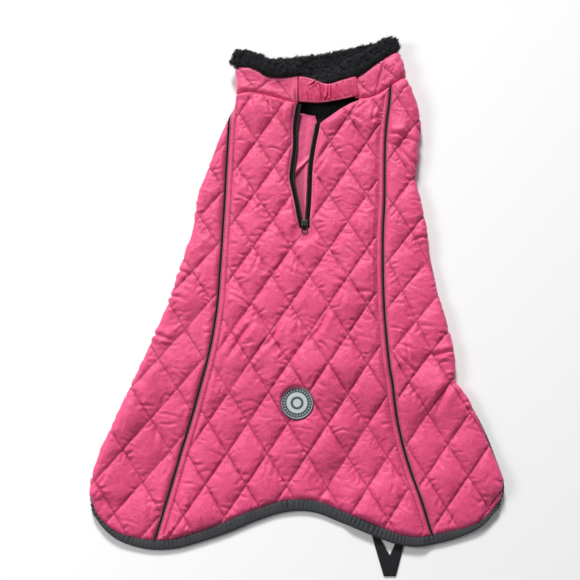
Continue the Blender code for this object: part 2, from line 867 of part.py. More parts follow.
def left_belly_edge(along):
    """The underneath edge of the pieces on the left, where they meet the belly panel."""
    return under_across(LEFT_BELLY(along) - GAP / 2, along, "left")


def right_belly_edge(along):
    """The underneath edge of the pieces on the right, where they meet the belly panel."""
    return under_across(RIGHT_BELLY(along) + GAP / 2, along, "right")


HEM_EDGE = hem_line()
PANEL_HEM = moved_in(HEM_EDGE, (binding_width(HEM_EDGE) + HEM_GAP)[:, None])
PANEL_HEM[0, 0] = left_belly_edge(PANEL_HEM[0, 1])
PANEL_HEM[-1, 0] = right_belly_edge(PANEL_HEM[-1, 1])
PIPING_SIDE = PIPING / 2 + GAP


def make_back():
    def left(along):
        return LEFT_PIPING(along) + PIPING_SIDE

    def right(along):
        return RIGHT_PIPING(along) - PIPING_SIDE

    hem = kept(kept(PANEL_HEM, lambda x, y: x - left(y)), lambda x, y: right(y) - x)
    top_left = meeting(left, SEAM_LEFT, SEAM_START_LEFT)
    top_right = meeting(right, SEAM_RIGHT, SEAM_START_RIGHT)
    loop = joined(
        hem,
        column(right, hem[-1][1], top_right - WIDE_GAP / 2),
        row(lambda x: SEAM_RIGHT(x) - WIDE_GAP / 2, right(top_right), OPENING_EDGE[0][0]),
        OPENING_EDGE,
        column(RIGHT_ZIP, TAPE_TOP_RIGHT, SLIT_FOOT),
        [ZIP_FOOT],
        column(LEFT_ZIP, SLIT_FOOT, SEAM_LEFT(COLLAR_END_LEFT) - GAP),
        row(lambda x: SEAM_LEFT(x) - WIDE_GAP / 2, COLLAR_END_LEFT, left(top_left)),
        column(left, top_left - WIDE_GAP / 2, hem[0][1]),
    )
    turns = np.arange(BADGE_SIDES) * 2 * math.pi / BADGE_SIDES
    ring = np.stack([np.cos(turns), np.sin(turns)], axis=1) * BADGE_CLEAR + BADGE_CENTRE
    add_quilted("back_panel", loop, "back", seats=[ring[::2]])
    disc = np.stack([np.cos(turns), np.sin(turns)], axis=1) * BADGE_RADIUS + BADGE_CENTRE
    seat = WALL + BADGE_SEAT + GAP
    add_sheet("badge", disc, [], seat, seat + BADGE_THICKNESS, "badge_rubber")


def make_sides():
    def left_inner(along):
        return LEFT_PIPING(along) - PIPING_SIDE

    hem = kept(PANEL_HEM, lambda x, y: left_inner(y) - x)
    top = meeting(left_inner, SEAM_LEFT, SEAM_START_LEFT)
    high = NECK_UNDER_LEFT - WIDE_GAP / 2
    loop = joined(
        hem,
        column(left_inner, hem[-1][1], top - WIDE_GAP / 2),
        row(lambda x: SEAM_LEFT(x) - WIDE_GAP / 2, left_inner(top), left_belly_edge(high)),
        column(left_belly_edge, high, hem[0][1]),
    )
    add_quilted("side_left", loop, "left")

    def right_inner(along):
        return RIGHT_PIPING(along) + PIPING_SIDE

    hem = kept(PANEL_HEM, lambda x, y: x - right_inner(y))
    top = meeting(right_inner, SEAM_RIGHT, SEAM_START_RIGHT)
    high = NECK_UNDER_RIGHT - WIDE_GAP / 2
    loop = joined(
        hem,
        column(right_belly_edge, hem[-1][1], high),
        row(lambda x: SEAM_RIGHT(x) - WIDE_GAP / 2, right_belly_edge(high), right_inner(top)),
        column(right_inner, top - WIDE_GAP / 2, hem[0][1]),
    )
    add_quilted("side_right", loop, "right")


def make_belly():
    low = HEM_TOP + BINDING + HEM_GAP
    left_top, right_top = NECK_UNDER_LEFT - WIDE_GAP / 2, NECK_UNDER_RIGHT - WIDE_GAP / 2
    loop = joined(
        row(lambda x: low + 0 * x, LEFT_BELLY(low) + GAP / 2, RIGHT_BELLY(low) - GAP / 2, 30),
        column(lambda y: RIGHT_BELLY(y) - GAP / 2, low, right_top),
        column(lambda y: LEFT_BELLY(y) + GAP / 2, left_top, low),
    )
    add_sheet("belly_panel", loop, [], WALL, 0.0, "pink_shell", place=flat_on_floor)


def make_piping():
    ring = (
        (-PIPING / 2, PIPING_LOW),
        (-PIPING / 2, WALL),
        (-PIPING / 4, WALL + PIPING_PROUD),
        (PIPING / 4, WALL + PIPING_PROUD),
        (PIPING / 2, WALL),
        (PIPING / 2, PIPING_LOW),
    )
    for name, piping, seam, top in (
        ("piping_left", LEFT_PIPING, SEAM_LEFT, SEAM_START_LEFT),
        ("piping_right", RIGHT_PIPING, SEAM_RIGHT, SEAM_START_RIGHT),
    ):
        high = meeting(piping, seam, top) - PIPING_TOP_CLEAR
        line = kept(column(piping, high, COAT_FOOT), lambda x, y: y - LOW_HEM(x) - BINDING - PIPING_HEM_CLEAR)
        add_strip(name, strip_rings(line, ring), "reflective_piping")


def binding_ring():
    low, high = -BINDING_PROUD, WALL + BINDING_PROUD
    return (
        (0.0, low + BINDING_CHAMFER),
        (BINDING_CHAMFER, low),
        (BINDING, low),
        (BINDING, high),
        (BINDING_CHAMFER, high),
        (0.0, high - BINDING_CHAMFER),
    )


def make_bindings():
    rings = strip_rings(HEM_EDGE, binding_ring(), binding_width(HEM_EDGE) / BINDING)
    rings[0, :, 0] = left_belly_edge(rings[0, :, 1])
    rings[-1, :, 0] = right_belly_edge(rings[-1, :, 1])
    add_strip("hem_binding", rings, "grey_binding")
    low, high = HEM_TOP, HEM_TOP + BINDING
    loop = [
        (LEFT_BELLY(low) + GAP, low),
        (RIGHT_BELLY(low) - GAP, low),
        (RIGHT_BELLY(high) - GAP, high),
        (LEFT_BELLY(high) + GAP, high),
    ]
    add_sheet(
        "belly_binding", np.array(loop), [], WALL + BINDING_PROUD, 0.0, "grey_binding", place=flat_on_floor
    )


def make_collar():
    low = NECK_UNDER_LEFT + WIDE_GAP / 2
    left_top = meeting(left_belly_edge, TOP_LEFT, COLLAR_START_LEFT)
    left_loop = joined(
        row(lambda x: SEAM_LEFT(x) + WIDE_GAP / 2, left_belly_edge(low), COLLAR_END_LEFT),
        row(TOP_LEFT, COLLAR_END_LEFT, left_belly_edge(left_top)),
        column(left_belly_edge, left_top, low),
    )
    add_quilted("collar_left", left_loop, "collar")
    low = NECK_UNDER_RIGHT + WIDE_GAP / 2
    right_top = meeting(right_belly_edge, TOP_RIGHT, COLLAR_START_RIGHT)
    right_loop = joined(
        row(lambda x: SEAM_RIGHT(x) + WIDE_GAP / 2, COLLAR_END_RIGHT, right_belly_edge(low)),
        column(right_belly_edge, low, right_top),
        row(TOP_RIGHT, right_belly_edge(right_top), COLLAR_END_RIGHT),
    )
    add_quilted("collar_right", right_loop, "collar")
    under_loop = joined(
        column(lambda y: LEFT_BELLY(y) + GAP / 2, left_top, NECK_UNDER_LEFT + WIDE_GAP / 2),
        column(lambda y: RIGHT_BELLY(y) - GAP / 2, NECK_UNDER_RIGHT + WIDE_GAP / 2, right_top),
    )
    add_sheet("collar_under", under_loop, [], WALL, 0.0, "pink_shell", place=flat_on_floor)


def make_tab():
    """The gathered band over the leash opening: a section for each row of its table."""
    rings = []
    for across, low, high, gather in TAB:
        along = np.linspace(low, high, 5)
        swell = np.array([0.3, 1.0, 0.8, 1.0, 0.3]) * gather
        over = lay(across, along, WALL + swell)
        under = lay(across, along, 0.3)
        rings.append(np.vstack([over, under[::-1]]))
    add_loft("collar_tab", np.array(rings), "pink_shell")


def make_fleece():
    add_pile("fleece_front_left", PILE_FRONT_LEFT)
    add_pile("fleece_front_right", PILE_FRONT_RIGHT)
    add_pile("fleece_back", PILE_BACK)


def make_inside():
    add_sheet(
        "neck_lining",
        np.array(LINING_OUTLINE),
        [],
        LINING_FLOOR,
        LINING_FLOOR + LINING,
        "black_lining",
        place=flat_on_floor,
    )
    for name, outline, floor in (
        ("zip_guard_upper", GUARD_UPPER, GUARD_UPPER_FLOOR),
        ("zip_guard_lower", GUARD_LOWER, GUARD_LOWER_FLOOR),
    ):
        add_sheet(
            name, np.array(outline), [], floor, floor + GUARD_THICKNESS, "pink_shell", place=flat_on_floor
        )


def make_zip():
    ring = ((GAP, TAPE_LOW), (TAPE, TAPE_LOW), (TAPE, TAPE_HIGH), (GAP, TAPE_HIGH))
    mirrored = tuple((-away, height) for away, height in ring[::-1])
    for name, edge, high, section in (
        ("zip_tape_left", LEFT_ZIP, TAPE_TOP_LEFT, ring),
        ("zip_tape_right", RIGHT_ZIP, TAPE_TOP_RIGHT, mirrored),
    ):
        line = column(edge, high, TAPE_FOOT, EDGE_STEP)
        add_strip(name, strip_rings(line, section), "black_tape")


def add_box(name, centre, size):
    mesh = bmesh.new()
    bmesh.ops.create_cube(mesh, size=1.0)
    bmesh.ops.scale(mesh, vec=Vector(size) * MM, verts=mesh.verts)
    data = bpy.data.meshes.new(name)
    mesh.to_mesh(data)
    mesh.free()
    made = bpy.data.objects.new(name, data)
    made.location = metres(centre)
    return made


def make_slider():
    """A slider on the tapes, with a bail that holds the pull's upper bar."""
    across, along = SLIDER_AT
    width, length, thickness = SLIDER_SIZE
    floor = float(lay(across, along, TAPE_HIGH)[2]) + GAP
    body = add_box("zip_slider", (across, along, floor + thickness / 2), SLIDER_SIZE)
    body.data.materials.append(material("slider_metal"))
    COAT.objects.link(body)
    bevel = body.modifiers.new("rounding", "BEVEL")
    bevel.width = SLIDER_ROUNDING * MM
    bevel.segments = 2
    hole = 2 * (PULL_WIRE + PULL_CLEAR)
    bail_height = hole + BAIL_TOP
    hinge = (across, along - PULL_BEHIND, floor + thickness + hole / 2)
    bail = add_box(
        "bail",
        (across, hinge[1], floor + thickness + (bail_height - BAIL_SUNK) / 2),
        (BAIL_WIDTH, hole + 2 * BAIL_LEG, bail_height + BAIL_SUNK),
    )
    window = add_box("bail_window", hinge, (2 * BAIL_WIDTH, hole, hole))
    for tool in (bail, window):
        CUTTERS.objects.link(tool)
        tool.hide_render = True
        tool.display_type = "WIRE"
    for tool, operation in ((bail, "UNION"), (window, "DIFFERENCE")):
        step = body.modifiers.new(tool.name, "BOOLEAN")
        step.object = tool
        step.operation = operation
    return hinge


def make_pull(hinge):
    """The pull: one loop of wire whose upper bar lies in the bail, with its origin on the hinge."""
    data = bpy.data.curves.new("zip_pull", "CURVE")
    data.dimensions = "3D"
    data.bevel_depth = PULL_WIRE * MM
    data.bevel_resolution = 2
    line = data.splines.new("POLY")
    line.points.add(len(PULL_LOOP) - 1)
    for point, (across, along) in zip(line.points, PULL_LOOP):
        point.co = (across * MM, along * MM, 0, 1)
    line.use_cyclic_u = True
    made = add_object("zip_pull", data, "slider_metal")
    made.location = metres(hinge)
    made.rotation_euler.x = math.radians(PULL_DROOP)


def make_strap():
    add_sheet(
        "leg_strap",
        np.array(STRAP_OUTLINE),
        [],
        0.0,
        STRAP_THICKNESS,
        "black_elastic",
        place=flat_on_floor,
    )


def make_all():
    make_back()
    make_sides()
    make_belly()
    make_piping()
    make_bindings()
    make_collar()
    make_tab()
    make_fleece()
    make_inside()
    make_zip()
    make_pull(make_slider())
    make_strap()


for old in list(bpy.data.objects):
    bpy.data.objects.remove(old)
COAT = bpy.data.collections.new("dog_winter_coat")
CUTTERS = bpy.data.collections.new("cutters")
bpy.context.scene.collection.children.link(COAT)
bpy.context.scene.collection.children.link(CUTTERS)
make_all()
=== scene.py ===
"""A quilted winter coat for a dog, laid flat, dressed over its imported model.

The pieces are drawn in the flat cut, in millimetres. "across" is the distance over the coat from side to
side, and "along" runs from the hem to the neck. lay() puts a point of the cut where it lies: on top, round a
fold or underneath.
"""

import math

import bmesh
import bpy
import numpy as np
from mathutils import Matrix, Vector
from mathutils.geometry import delaunay_2d_cdt
from mathutils.kdtree import KDTree


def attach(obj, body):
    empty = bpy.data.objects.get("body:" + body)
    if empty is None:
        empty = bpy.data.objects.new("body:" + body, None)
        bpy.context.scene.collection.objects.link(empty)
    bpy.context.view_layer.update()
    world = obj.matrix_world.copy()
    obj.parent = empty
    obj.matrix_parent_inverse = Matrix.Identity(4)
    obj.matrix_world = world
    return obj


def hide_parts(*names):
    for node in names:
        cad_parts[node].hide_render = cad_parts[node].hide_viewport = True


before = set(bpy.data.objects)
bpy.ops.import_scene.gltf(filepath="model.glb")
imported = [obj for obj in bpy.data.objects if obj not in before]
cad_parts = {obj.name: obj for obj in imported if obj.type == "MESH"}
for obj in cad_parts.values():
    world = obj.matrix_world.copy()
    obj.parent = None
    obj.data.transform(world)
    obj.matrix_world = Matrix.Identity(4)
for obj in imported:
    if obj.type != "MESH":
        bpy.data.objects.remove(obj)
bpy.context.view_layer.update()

# Sizes are in millimetres, as far as no line says otherwise.
MM = 0.001
CENTRE_ACROSS = 6.26
CENTRE_ALONG = 225.9

# The cloth's wall, the gaps between neighbouring pieces, and the steps in which lines and faces are divided.
WALL = 2.8
GAP = 0.3
WIDE_GAP = 0.6
HEM_GAP = 0.9
JOIN_CLEAR = 0.4
STATION_CLEAR = 0.7
EDGE_STEP = 1.6
COARSE_STEPS = 3
FINE_STEPS = 26

# How far the height of a folded edge reaches into the top layer, and how the large folds fade beside it.
EDGE_REACH = 24.0
FOLD_FADE = 14.0

# The hem's binding: its width, and how far it stands proud of the cloth that it holds.
BINDING = 9.0
BINDING_PROUD = 0.6

# Where the hem runs across underneath, and where the collar's seam meets the belly panel on each side.
HEM_TOP = 121.0
NECK_UNDER_LEFT = 443.0
NECK_UNDER_RIGHT = 466.0

# The piping between the panels: its width, its lower face, how far it stops short of the collar's seam, and a
# place along the coat that is past the hem.
PIPING = 3.6
PIPING_LOW = 0.4
PIPING_TOP_CLEAR = 2.0
COAT_FOOT = -45.0

# The zip tapes: how far they reach from the edge of the zip, and their lower and upper faces.
TAPE = 5.2
TAPE_LOW = 0.5
TAPE_HIGH = 2.0

# The neck's lining: its thickness, and how high it lies on the lower layer.
LINING = 0.9
LINING_FLOOR = WALL + GAP

# Where the search starts for the places where lines along the coat cross its neck seam and collar top.
SEAM_START_LEFT = 448.0
SEAM_START_RIGHT = 452.0
COLLAR_START_LEFT = 484.0
COLLAR_START_RIGHT = 504.0

# Sections of the laid coat, from the hem to the top of the collar. The folds are the coat's outline from
# above. The piping is where the side panels meet the back. "roll" is the radius of the folded edge, and
# "lift" is how high the top layer's inner face lies in the middle.
SECTIONS = (
    # along, left fold, left piping, right piping, right fold, roll, lift
    (-45, -190.0, -135.0, 145.5, 203.0, 5.0, 0.0),
    (-20, -193.5, -128.2, 137.0, 206.5, 5.0, 0.0),
    (2, -195.8, -122.2, 130.6, 207.2, 5.0, 0.0),
    (15, -197.5, -118.6, 126.5, 210.8, 5.0, 0.0),
    (50, -188.5, -109.5, 115.8, 203.2, 5.0, 0.3),
    (85, -174.0, -99.5, 108.5, 189.7, 5.5, 2.5),
    (107, -165.2, -93.6, 105.8, 178.0, 6.0, 5.0),
    (120, -160.6, -90.3, 104.6, 168.4, 6.0, 6.2),
    (135, -155.0, -86.5, 102.3, 168.2, 6.0, 7.3),
    (160, -145.5, -81.2, 100.2, 166.0, 6.0, 7.9),
    (200, -127.5, -75.8, 98.2, 158.8, 6.0, 8.1),
    (240, -115.5, -73.5, 98.2, 152.4, 6.0, 8.1),
    (280, -106.5, -71.8, 99.4, 146.2, 6.0, 8.1),
    (320, -99.5, -70.2, 102.3, 141.3, 6.0, 8.0),
    (350, -90.5, -69.3, 103.4, 137.0, 6.0, 8.0),
    (380, -81.0, -68.1, 104.6, 141.6, 6.6, 8.4),
    (410, -70.6, -66.8, 107.3, 143.4, 7.6, 10.4),
    (430, -61.4, -65.2, 110.2, 140.2, 8.6, 12.4),
    (450, -59.8, -63.5, 112.0, 134.4, 9.5, 14.0),
    (480, -62.2, -62.0, 113.0, 126.8, 10.0, 14.6),
    (525, -61.5, -61.0, 114.0, 121.6, 9.0, 13.0),
)

# How far the cape's edge runs on past the coat's outline, curling under.
CURL = (
    # along, left, right
    (-50, 0.0, 0.0),
    (-10, 0.0, 0.0),
    (5, 1.5, 1.0),
    (20, 10.5, 6.0),
    (55, 13.0, 6.5),
    (85, 15.0, 7.0),
    (100, 20.0, 9.0),
    (110, 30.0, 15.0),
    (117, 46.0, 32.0),
    (121, 72.0, 62.0),
)

# The cape's hem between the two curled edges, outer edge of the binding.
HEM = (
    # across, along
    (-190.5, -9.6),
    (-181.5, -20.8),
    (-168.3, -31.0),
    (-154.5, -36.5),
    (-135.0, -40.2),
    (-112.0, -39.3),
    (-87.0, -33.0),
    (-60.0, -24.3),
    (-33.0, -13.4),
    (-6.0, -5.3),
    (8.0, -3.9),
    (22.0, -5.0),
    (48.6, -14.2),
    (75.6, -25.0),
    (102.4, -34.7),
    (122.0, -37.6),
    (143.0, -34.7),
    (170.5, -27.0),
    (186.0, -19.6),
    (201.0, -4.9),
)

# How wide the binding shows along the hem: it narrows where the cape's corners start to curl under.
HEM_BINDING = (
    # across, width
    (-200, 4.0),
    (-190, 3.5),
    (-181, 5.0),
    (-168, 7.0),
    (-154, 8.5),
    (-140, 9.0),
    (145, 9.0),
    (158, 8.5),
    (176, 6.5),
    (188, 5.0),
    (201, 3.5),
    (210, 4.0),
)
CURL_WIDTH_START = 3.0
CURL_WIDTH_OVER = 16.0

# Where the belly panel meets the side panels, underneath.
BELLY_SEAMS = (
    # along, left, right
    (115, -86.0, 106.0),
    (200, -70.0, 101.0),
    (300, -52.0, 98.0),
    (400, -38.0, 100.0),
    (450, -26.0, 106.0),
    (470, -24.0, 108.0),
    (520, -22.0, 110.0),
)

# Seam between body and collar, and the collar's upper edge, left and right of the zip.
NECK_SEAM_LEFT = (
    # across, along
    (-130, 443.0),
    (-62, 444.0),
    (-38, 444.0),
    (-17, 439.6),
    (1, 434.6),
    (12, 432.2),
)
NECK_SEAM_RIGHT = (
    # across, along
    (70, 438.0),
    (90, 439.6),
    (97, 442.4),
    (112, 452.0),
    (129, 462.6),
    (150, 465.4),
    (165, 466.0),
    (180, 466.0),
    (200, 466.0),
)
COLLAR_TOP_LEFT = (
    # across, along
    (-130, 482.0),
    (-75, 476.4),
    (-57, 474.2),
    (-40, 472.4),
    (-25, 463.8),
    (-12, 462.6),
    (12, 465.4),
)
COLLAR_TOP_RIGHT = (
    # across, along
    (70, 460.4),
    (76, 463.2),
    (86, 471.0),
    (97, 479.2),
    (109, 486.8),
    (121, 493.8),
    (140, 498.6),
    (200, 500.6),
)
COLLAR_END_LEFT = 9.4
COLLAR_END_RIGHT = 76.6

# The zip's opening in the back: the panel's two edges, and its upper right edge up to the collar.
ZIP_EDGES = (
    # along, left, right
    (287, 10.6, 20.9),
    (298, 8.0, 21.2),
    (314, 5.4, 22.5),
    (330, 2.2, 23.4),
    (344, -0.4, 24.0),
    (356, 0.5, 24.7),
    (378, 3.2, 27.6),
    (408, 3.9, 33.3),
    (440, 9.2, 38.0),
)
OPENING_EDGE = (
    # across, along
    (77.0, 436.0),
    (67.0, 432.0),
    (55.7, 425.4),
    (44.5, 417.2),
    (35.0, 410.2),
)
ZIP_FOOT = (15.6, 284.4)
TAPE_FOOT = 289.0
SLIT_FOOT = 287.0
ZIP_FLAT = 8.0
TAPE_TOP_LEFT = 431.0
TAPE_TOP_RIGHT = 408.0

# Quilting: a crossing of the stitch lines, and the steps to the next crossing down left and down right.
LATTICES = {
    # panel: (across, along, left across, left along, right across, right along)
    "back": (-2.2, 80.4, -20.7, -30.3, 19.5, -31.1),
    "left": (-140.5, 84.8, -26.0, -30.5, 20.0, -31.0),
    "right": (139.6, 90.5, -22.6, -31.0, 18.5, -31.0),
    "collar": (-18.1, 463.8, -19.3, -18.6, 20.9, -29.3),
    "collar_right": (94.3, 438.3, -8.9, -37.2, 19.6, -19.6),
}

# The largest folds in the top layer: soft ridges (height above zero) and troughs.
FOLDS = (
    # across, along, direction in degrees, half length, half width, height
    (121, 396, 62, 24, 8, 3.0),
    (128, 378, -28, 18, 8, -2.6),
    (28, 262, -42, 26, 8, 2.4),
    (-40, 424, -58, 40, 9, 2.0),
    (-22, 396, -70, 30, 9, -1.6),
    (-132, 168, 24, 20, 8, 2.2),
    (-120, 208, -20, 18, 8, 1.8),
    (-148, 128, 38, 20, 9, 1.8),
    (150, 118, 50, 28, 9, 2.8),
    (136, 140, 20, 24, 9, -2.2),
    (64, 238, 30, 30, 12, 1.6),
    (-44, 150, 52, 40, 14, 1.8),
    (40, 60, 56, 46, 14, 1.6),
    (-150, 40, 52, 30, 12, 1.8),
    (176, 52, -50, 30, 12, 1.8),
)

# The badge, and the height to which it presses the padding under it.
BADGE_CENTRE = (7.1, 100.3)
BADGE_RADIUS = 16.8
BADGE_SEAT = 1.4

# The elastic loop under the hem, and how the hem rises over it.
STRAP_THICKNESS = 1.2
STRAP_RISE = 2.3
STRAP_SPAN = (62.0, 128.0)
STRAP_TOP = 8.0
STRAP_SIDE_BLEND = 12.0
STRAP_TOP_BLEND = 22.0
STRAP_OUTLINE = (
    # across, along
    (78.0, -8.0),
    (79.5, -25.4),
    (90.8, -65.7),
    (102.3, -65.7),
    (111.0, -37.4),
    (112.5, -14.0),
    (104.5, -14.0),
    (103.4, -34.7),
    (97.2, -46.5),
    (87.1, -29.1),
    (85.6, -8.0),
)

# The pink strip behind the zip: its upper stretch, and the lower one that it folds over.
GUARD_UPPER = (
    # across, along
    (5.0, 425.0),
    (16.0, 423.6),
    (22.8, 421.4),
    (28.4, 421.2),
    (29.8, 415.0),
    (30.5, 403.0),
    (28.0, 385.0),
    (25.0, 371.5),
    (19.0, 364.0),
    (-1.0, 343.0),
    (1.0, 372.0),
    (2.5, 405.0),
)
GUARD_LOWER = (
    # across, along
    (0.5, 356.0),
    (23.0, 368.0),
    (22.0, 340.0),
    (19.0, 292.0),
    (10.5, 292.0),
    (3.0, 330.0),
)
GUARD_THICKNESS = 0.9
GUARD_LOWER_FLOOR = LINING_FLOOR + LINING + GAP
GUARD_UPPER_FLOOR = GUARD_LOWER_FLOOR + GUARD_THICKNESS + GAP

# The black lining behind the zip and the leash opening.
LINING_OUTLINE = (
    # across, along
    (-4.0, 284.0),
    (34.0, 284.0),
    (50.0, 360.0),
    (86.0, 428.0),
    (86.0, 448.0),
    (-4.0, 440.0),
    (-8.0, 350.0),
)

# The band over the leash opening.
TAB = (
    # across, lower edge, upper edge
    (9.8, 434.2, 463.4),
    (16.0, 433.6, 462.6),
    (22.0, 433.2, 461.2),
    (27.0, 432.8, 459.4),
    (32.0, 432.8, 457.2),
    (37.0, 433.2, 455.2),
    (42.0, 433.6, 454.2),
    (47.0, 434.4, 454.8),
    (52.0, 435.4, 456.4),
    (58.0, 436.8, 458.4),
    (66.0, 438.4, 460.4),
    (70.0, 439.2, 461.2),
    (76.1, 440.4, 462.4),
)

# Sherpa lining of the collar: rolls of pile, one row for each section.
PILE_FRONT_LEFT = (
    # across, lower edge, upper edge, lowest, highest
    (-66.0, 480.6, 487.0, 9.0, 15.0),
    (-63.0, 478.8, 492.6, 7.0, 19.0),
    (-55.0, 475.8, 495.4, 8.5, 21.0),
    (-46.0, 474.4, 494.4, 9.6, 22.0),
    (-35.0, 471.0, 489.8, 9.6, 22.5),
    (-22.0, 464.2, 483.6, 9.6, 22.5),
    (-8.0, 463.8, 484.0, 9.6, 22.0),
    (4.0, 465.2, 482.4, 9.6, 21.0),
    (11.5, 466.8, 480.4, 10.2, 19.0),
)
PILE_FRONT_RIGHT = (
    # across, lower edge, upper edge, lowest, highest
    (44.0, 459.4, 466.0, 9.6, 13.0),
    (58.0, 461.8, 479.0, 9.6, 17.0),
    (75.0, 464.8, 488.5, 9.6, 20.0),
    (90.0, 475.4, 497.5, 9.6, 21.5),
    (105.0, 485.6, 506.5, 9.6, 21.5),
    (116.0, 492.6, 511.5, 9.6, 20.0),
    (123.5, 498.0, 510.0, 9.8, 15.0),
)
PILE_BACK = (
    # across, lower edge, upper edge, lowest, highest
    (-50.0, 456.0, 484.0, 3.4, 7.6),
    (-40.0, 449.0, 487.5, 3.1, 8.6),
    (-10.0, 442.0, 490.0, 3.1, 8.7),
    (15.0, 440.0, 494.0, 3.1, 8.7),
    (35.0, 440.5, 496.5, 3.1, 8.7),
    (57.0, 443.0, 501.5, 3.1, 8.7),
    (80.0, 447.0, 506.5, 3.1, 8.7),
    (103.0, 456.0, 513.0, 3.1, 8.7),
    (110.5, 469.0, 517.5, 3.3, 8.6),
    (117.6, 507.5, 517.0, 4.0, 8.0),
)
PILE_POWER = 0.7


# ------------------------------------------------------------------ the laid form


def through(rows, column):
    """A smooth function through a column of a table, over its first one."""
    place = np.array([row[0] for row in rows], float)
    value = np.array([row[column] for row in rows], float)
    slope = np.gradient(value, place)

    def read(where):
        where = np.clip(where, place[0], place[-1])
        step = np.clip(np.searchsorted(place, where) - 1, 0, len(place) - 2)
        length = place[step + 1] - place[step]
        part = (where - place[step]) / length
        rest = 1 - part
        ends = value[step] * rest * rest * (1 + 2 * part) + value[step + 1] * part * part * (1 + 2 * rest)
        return ends + length * part * rest * (slope[step] * rest - slope[step + 1] * part)

    return read


def columns(rows):
    """Smooth functions through all the columns of a table, over its first one."""
    return [through(rows, column) for column in range(1, len(rows[0]))]


LEFT_FOLD, LEFT_PIPING, RIGHT_PIPING, RIGHT_FOLD, ROLL, LIFT = columns(SECTIONS)
LEFT_CURL, RIGHT_CURL = columns(CURL)
LEFT_BELLY, RIGHT_BELLY = columns(BELLY_SEAMS)
LEFT_ZIP, RIGHT_ZIP = columns(ZIP_EDGES)
(LOW_HEM,), (SHOWN_BINDING,) = columns(HEM), columns(HEM_BINDING)
(SEAM_LEFT,), (SEAM_RIGHT,) = columns(NECK_SEAM_LEFT), columns(NECK_SEAM_RIGHT)
(TOP_LEFT,), (TOP_RIGHT,) = columns(COLLAR_TOP_LEFT), columns(COLLAR_TOP_RIGHT)


def smooth_step(value):
    """From 0 to 1 as a value goes from 0 to 1, level at both ends."""
    value = np.clip(value, 0, 1)
    return value * value * (3 - 2 * value)


def bell(value, width):
    """1 where a value is 0, fading smoothly over about a width to both sides."""
    return np.exp(-((value / width) ** 2))


def fold_height(along, curl):
    """Height of a folded edge's centre: the coat's folds roll right under, the cape's edge just touches."""
    roll = ROLL(along)
    turn = np.clip(math.pi / 2 + curl(along) / (roll - WALL / 2), math.pi / 2, math.pi)
    return np.where(along > CURL[-1][0], roll, -roll * np.cos(turn))


def relief(across, along):
    """Height of the largest folds in the top layer."""
    total = np.zeros(np.broadcast(across, along).shape)
    for fold_across, fold_along, degrees, half_length, half_width, height in FOLDS:
        turn = math.radians(degrees)
        over = (across - fold_across) * math.cos(turn) + (along - fold_along) * math.sin(turn)
        beside = (along - fold_along) * math.cos(turn) - (across - fold_across) * math.sin(turn)
        total = total + height * np.exp(-((over / half_length) ** 2) - (beside / half_width) ** 2)
    return total


def strap_rise(across, along):
    """The hem lies over the elastic loop that is sewn under it."""
    low, high = STRAP_SPAN
    sides = smooth_step((across - low) / STRAP_SIDE_BLEND + 1)
    sides *= smooth_step((high - across) / STRAP_SIDE_BLEND + 1)
    return STRAP_RISE * sides * smooth_step((STRAP_TOP - along) / STRAP_TOP_BLEND + 1)


def rise(across, along):
    """Height of the top layer's inner face above the floor."""
    roll = ROLL(along)
    middle = LIFT(along)
    from_left = np.maximum(across - LEFT_FOLD(along) - roll, 0)
    from_right = np.maximum(RIGHT_FOLD(along) - roll - across, 0)
    left = (fold_height(along, LEFT_CURL) + roll - WALL - middle) * bell(from_left, EDGE_REACH)
    right = (fold_height(along, RIGHT_CURL) + roll - WALL - middle) * bell(from_right, EDGE_REACH)
    folds = relief(across, along) * smooth_step(np.minimum(from_left, from_right) / FOLD_FADE)
    return np.maximum(middle + left + right + folds, 0) + strap_rise(across, along)


def lay(across, along, height):
    """Where a point of the flat cut lies, with its height above the cloth's inner face."""
    across, along, height = np.broadcast_arrays(*(np.asarray(v, float) for v in (across, along, height)))
    roll = ROLL(along)
    left = LEFT_FOLD(along) + roll
    right = RIGHT_FOLD(along) - roll
    on_left = across < left
    side = np.where(on_left, -1, 1)
    beyond = np.where(on_left, left - across, across - right)
    turn = np.clip(beyond / (roll - WALL / 2), 0, math.pi)
    after = beyond - turn * (roll - WALL / 2)
    radius = roll - WALL + height
    centre = np.where(on_left, fold_height(along, LEFT_CURL), fold_height(along, RIGHT_CURL))
    round_x = np.where(on_left, left, right) + side * (radius * np.sin(turn) - after)
    round_z = np.maximum(centre + radius * np.cos(turn), 0)
    on_top = beyond <= 0
    x = np.where(on_top, across, round_x)
    z = np.where(on_top, np.maximum(rise(across, along) + height, 0), round_z)
    return np.stack([x, along, z], axis=-1)


def outline_across(along, side):
    """The place in the flat cut of the coat's outline, a quarter of the way round its fold."""
    roll = ROLL(along)
    quarter = (roll - WALL / 2) * math.pi / 2
    if side == "left":
        return LEFT_FOLD(along) + roll - quarter
    return RIGHT_FOLD(along) - roll + quarter


def under_across(x, along, side):
    """The place in the flat cut of a point that lies underneath at x."""
    roll = ROLL(along)
    half_turn = (roll - WALL / 2) * math.pi
    if side == "left":
        fold = LEFT_FOLD(along) + roll
        return fold - half_turn - (x - fold)
    fold = RIGHT_FOLD(along) - roll
    return fold + half_turn + (fold - x)


# ------------------------------------------------------------------ lines of the flat cut


def travelled(line):
    """How far along a polyline each of its points lies."""
    return np.concatenate([[0], np.cumsum(np.linalg.norm(np.diff(line, axis=0), axis=1))])


def read_at(line, length, at):
    """The points of a polyline at some lengths along it."""
    return np.stack([np.interp(at, length, line[:, 0]), np.interp(at, length, line[:, 1])], axis=1)


def spread(points, step):
    """Points along a polyline, evenly spaced and no further than step apart."""
    points = np.asarray(points, float)
    length = travelled(points)
    count = max(2, math.ceil(length[-1] / step) + 1)
    return read_at(points, length, np.linspace(0, length[-1], count))


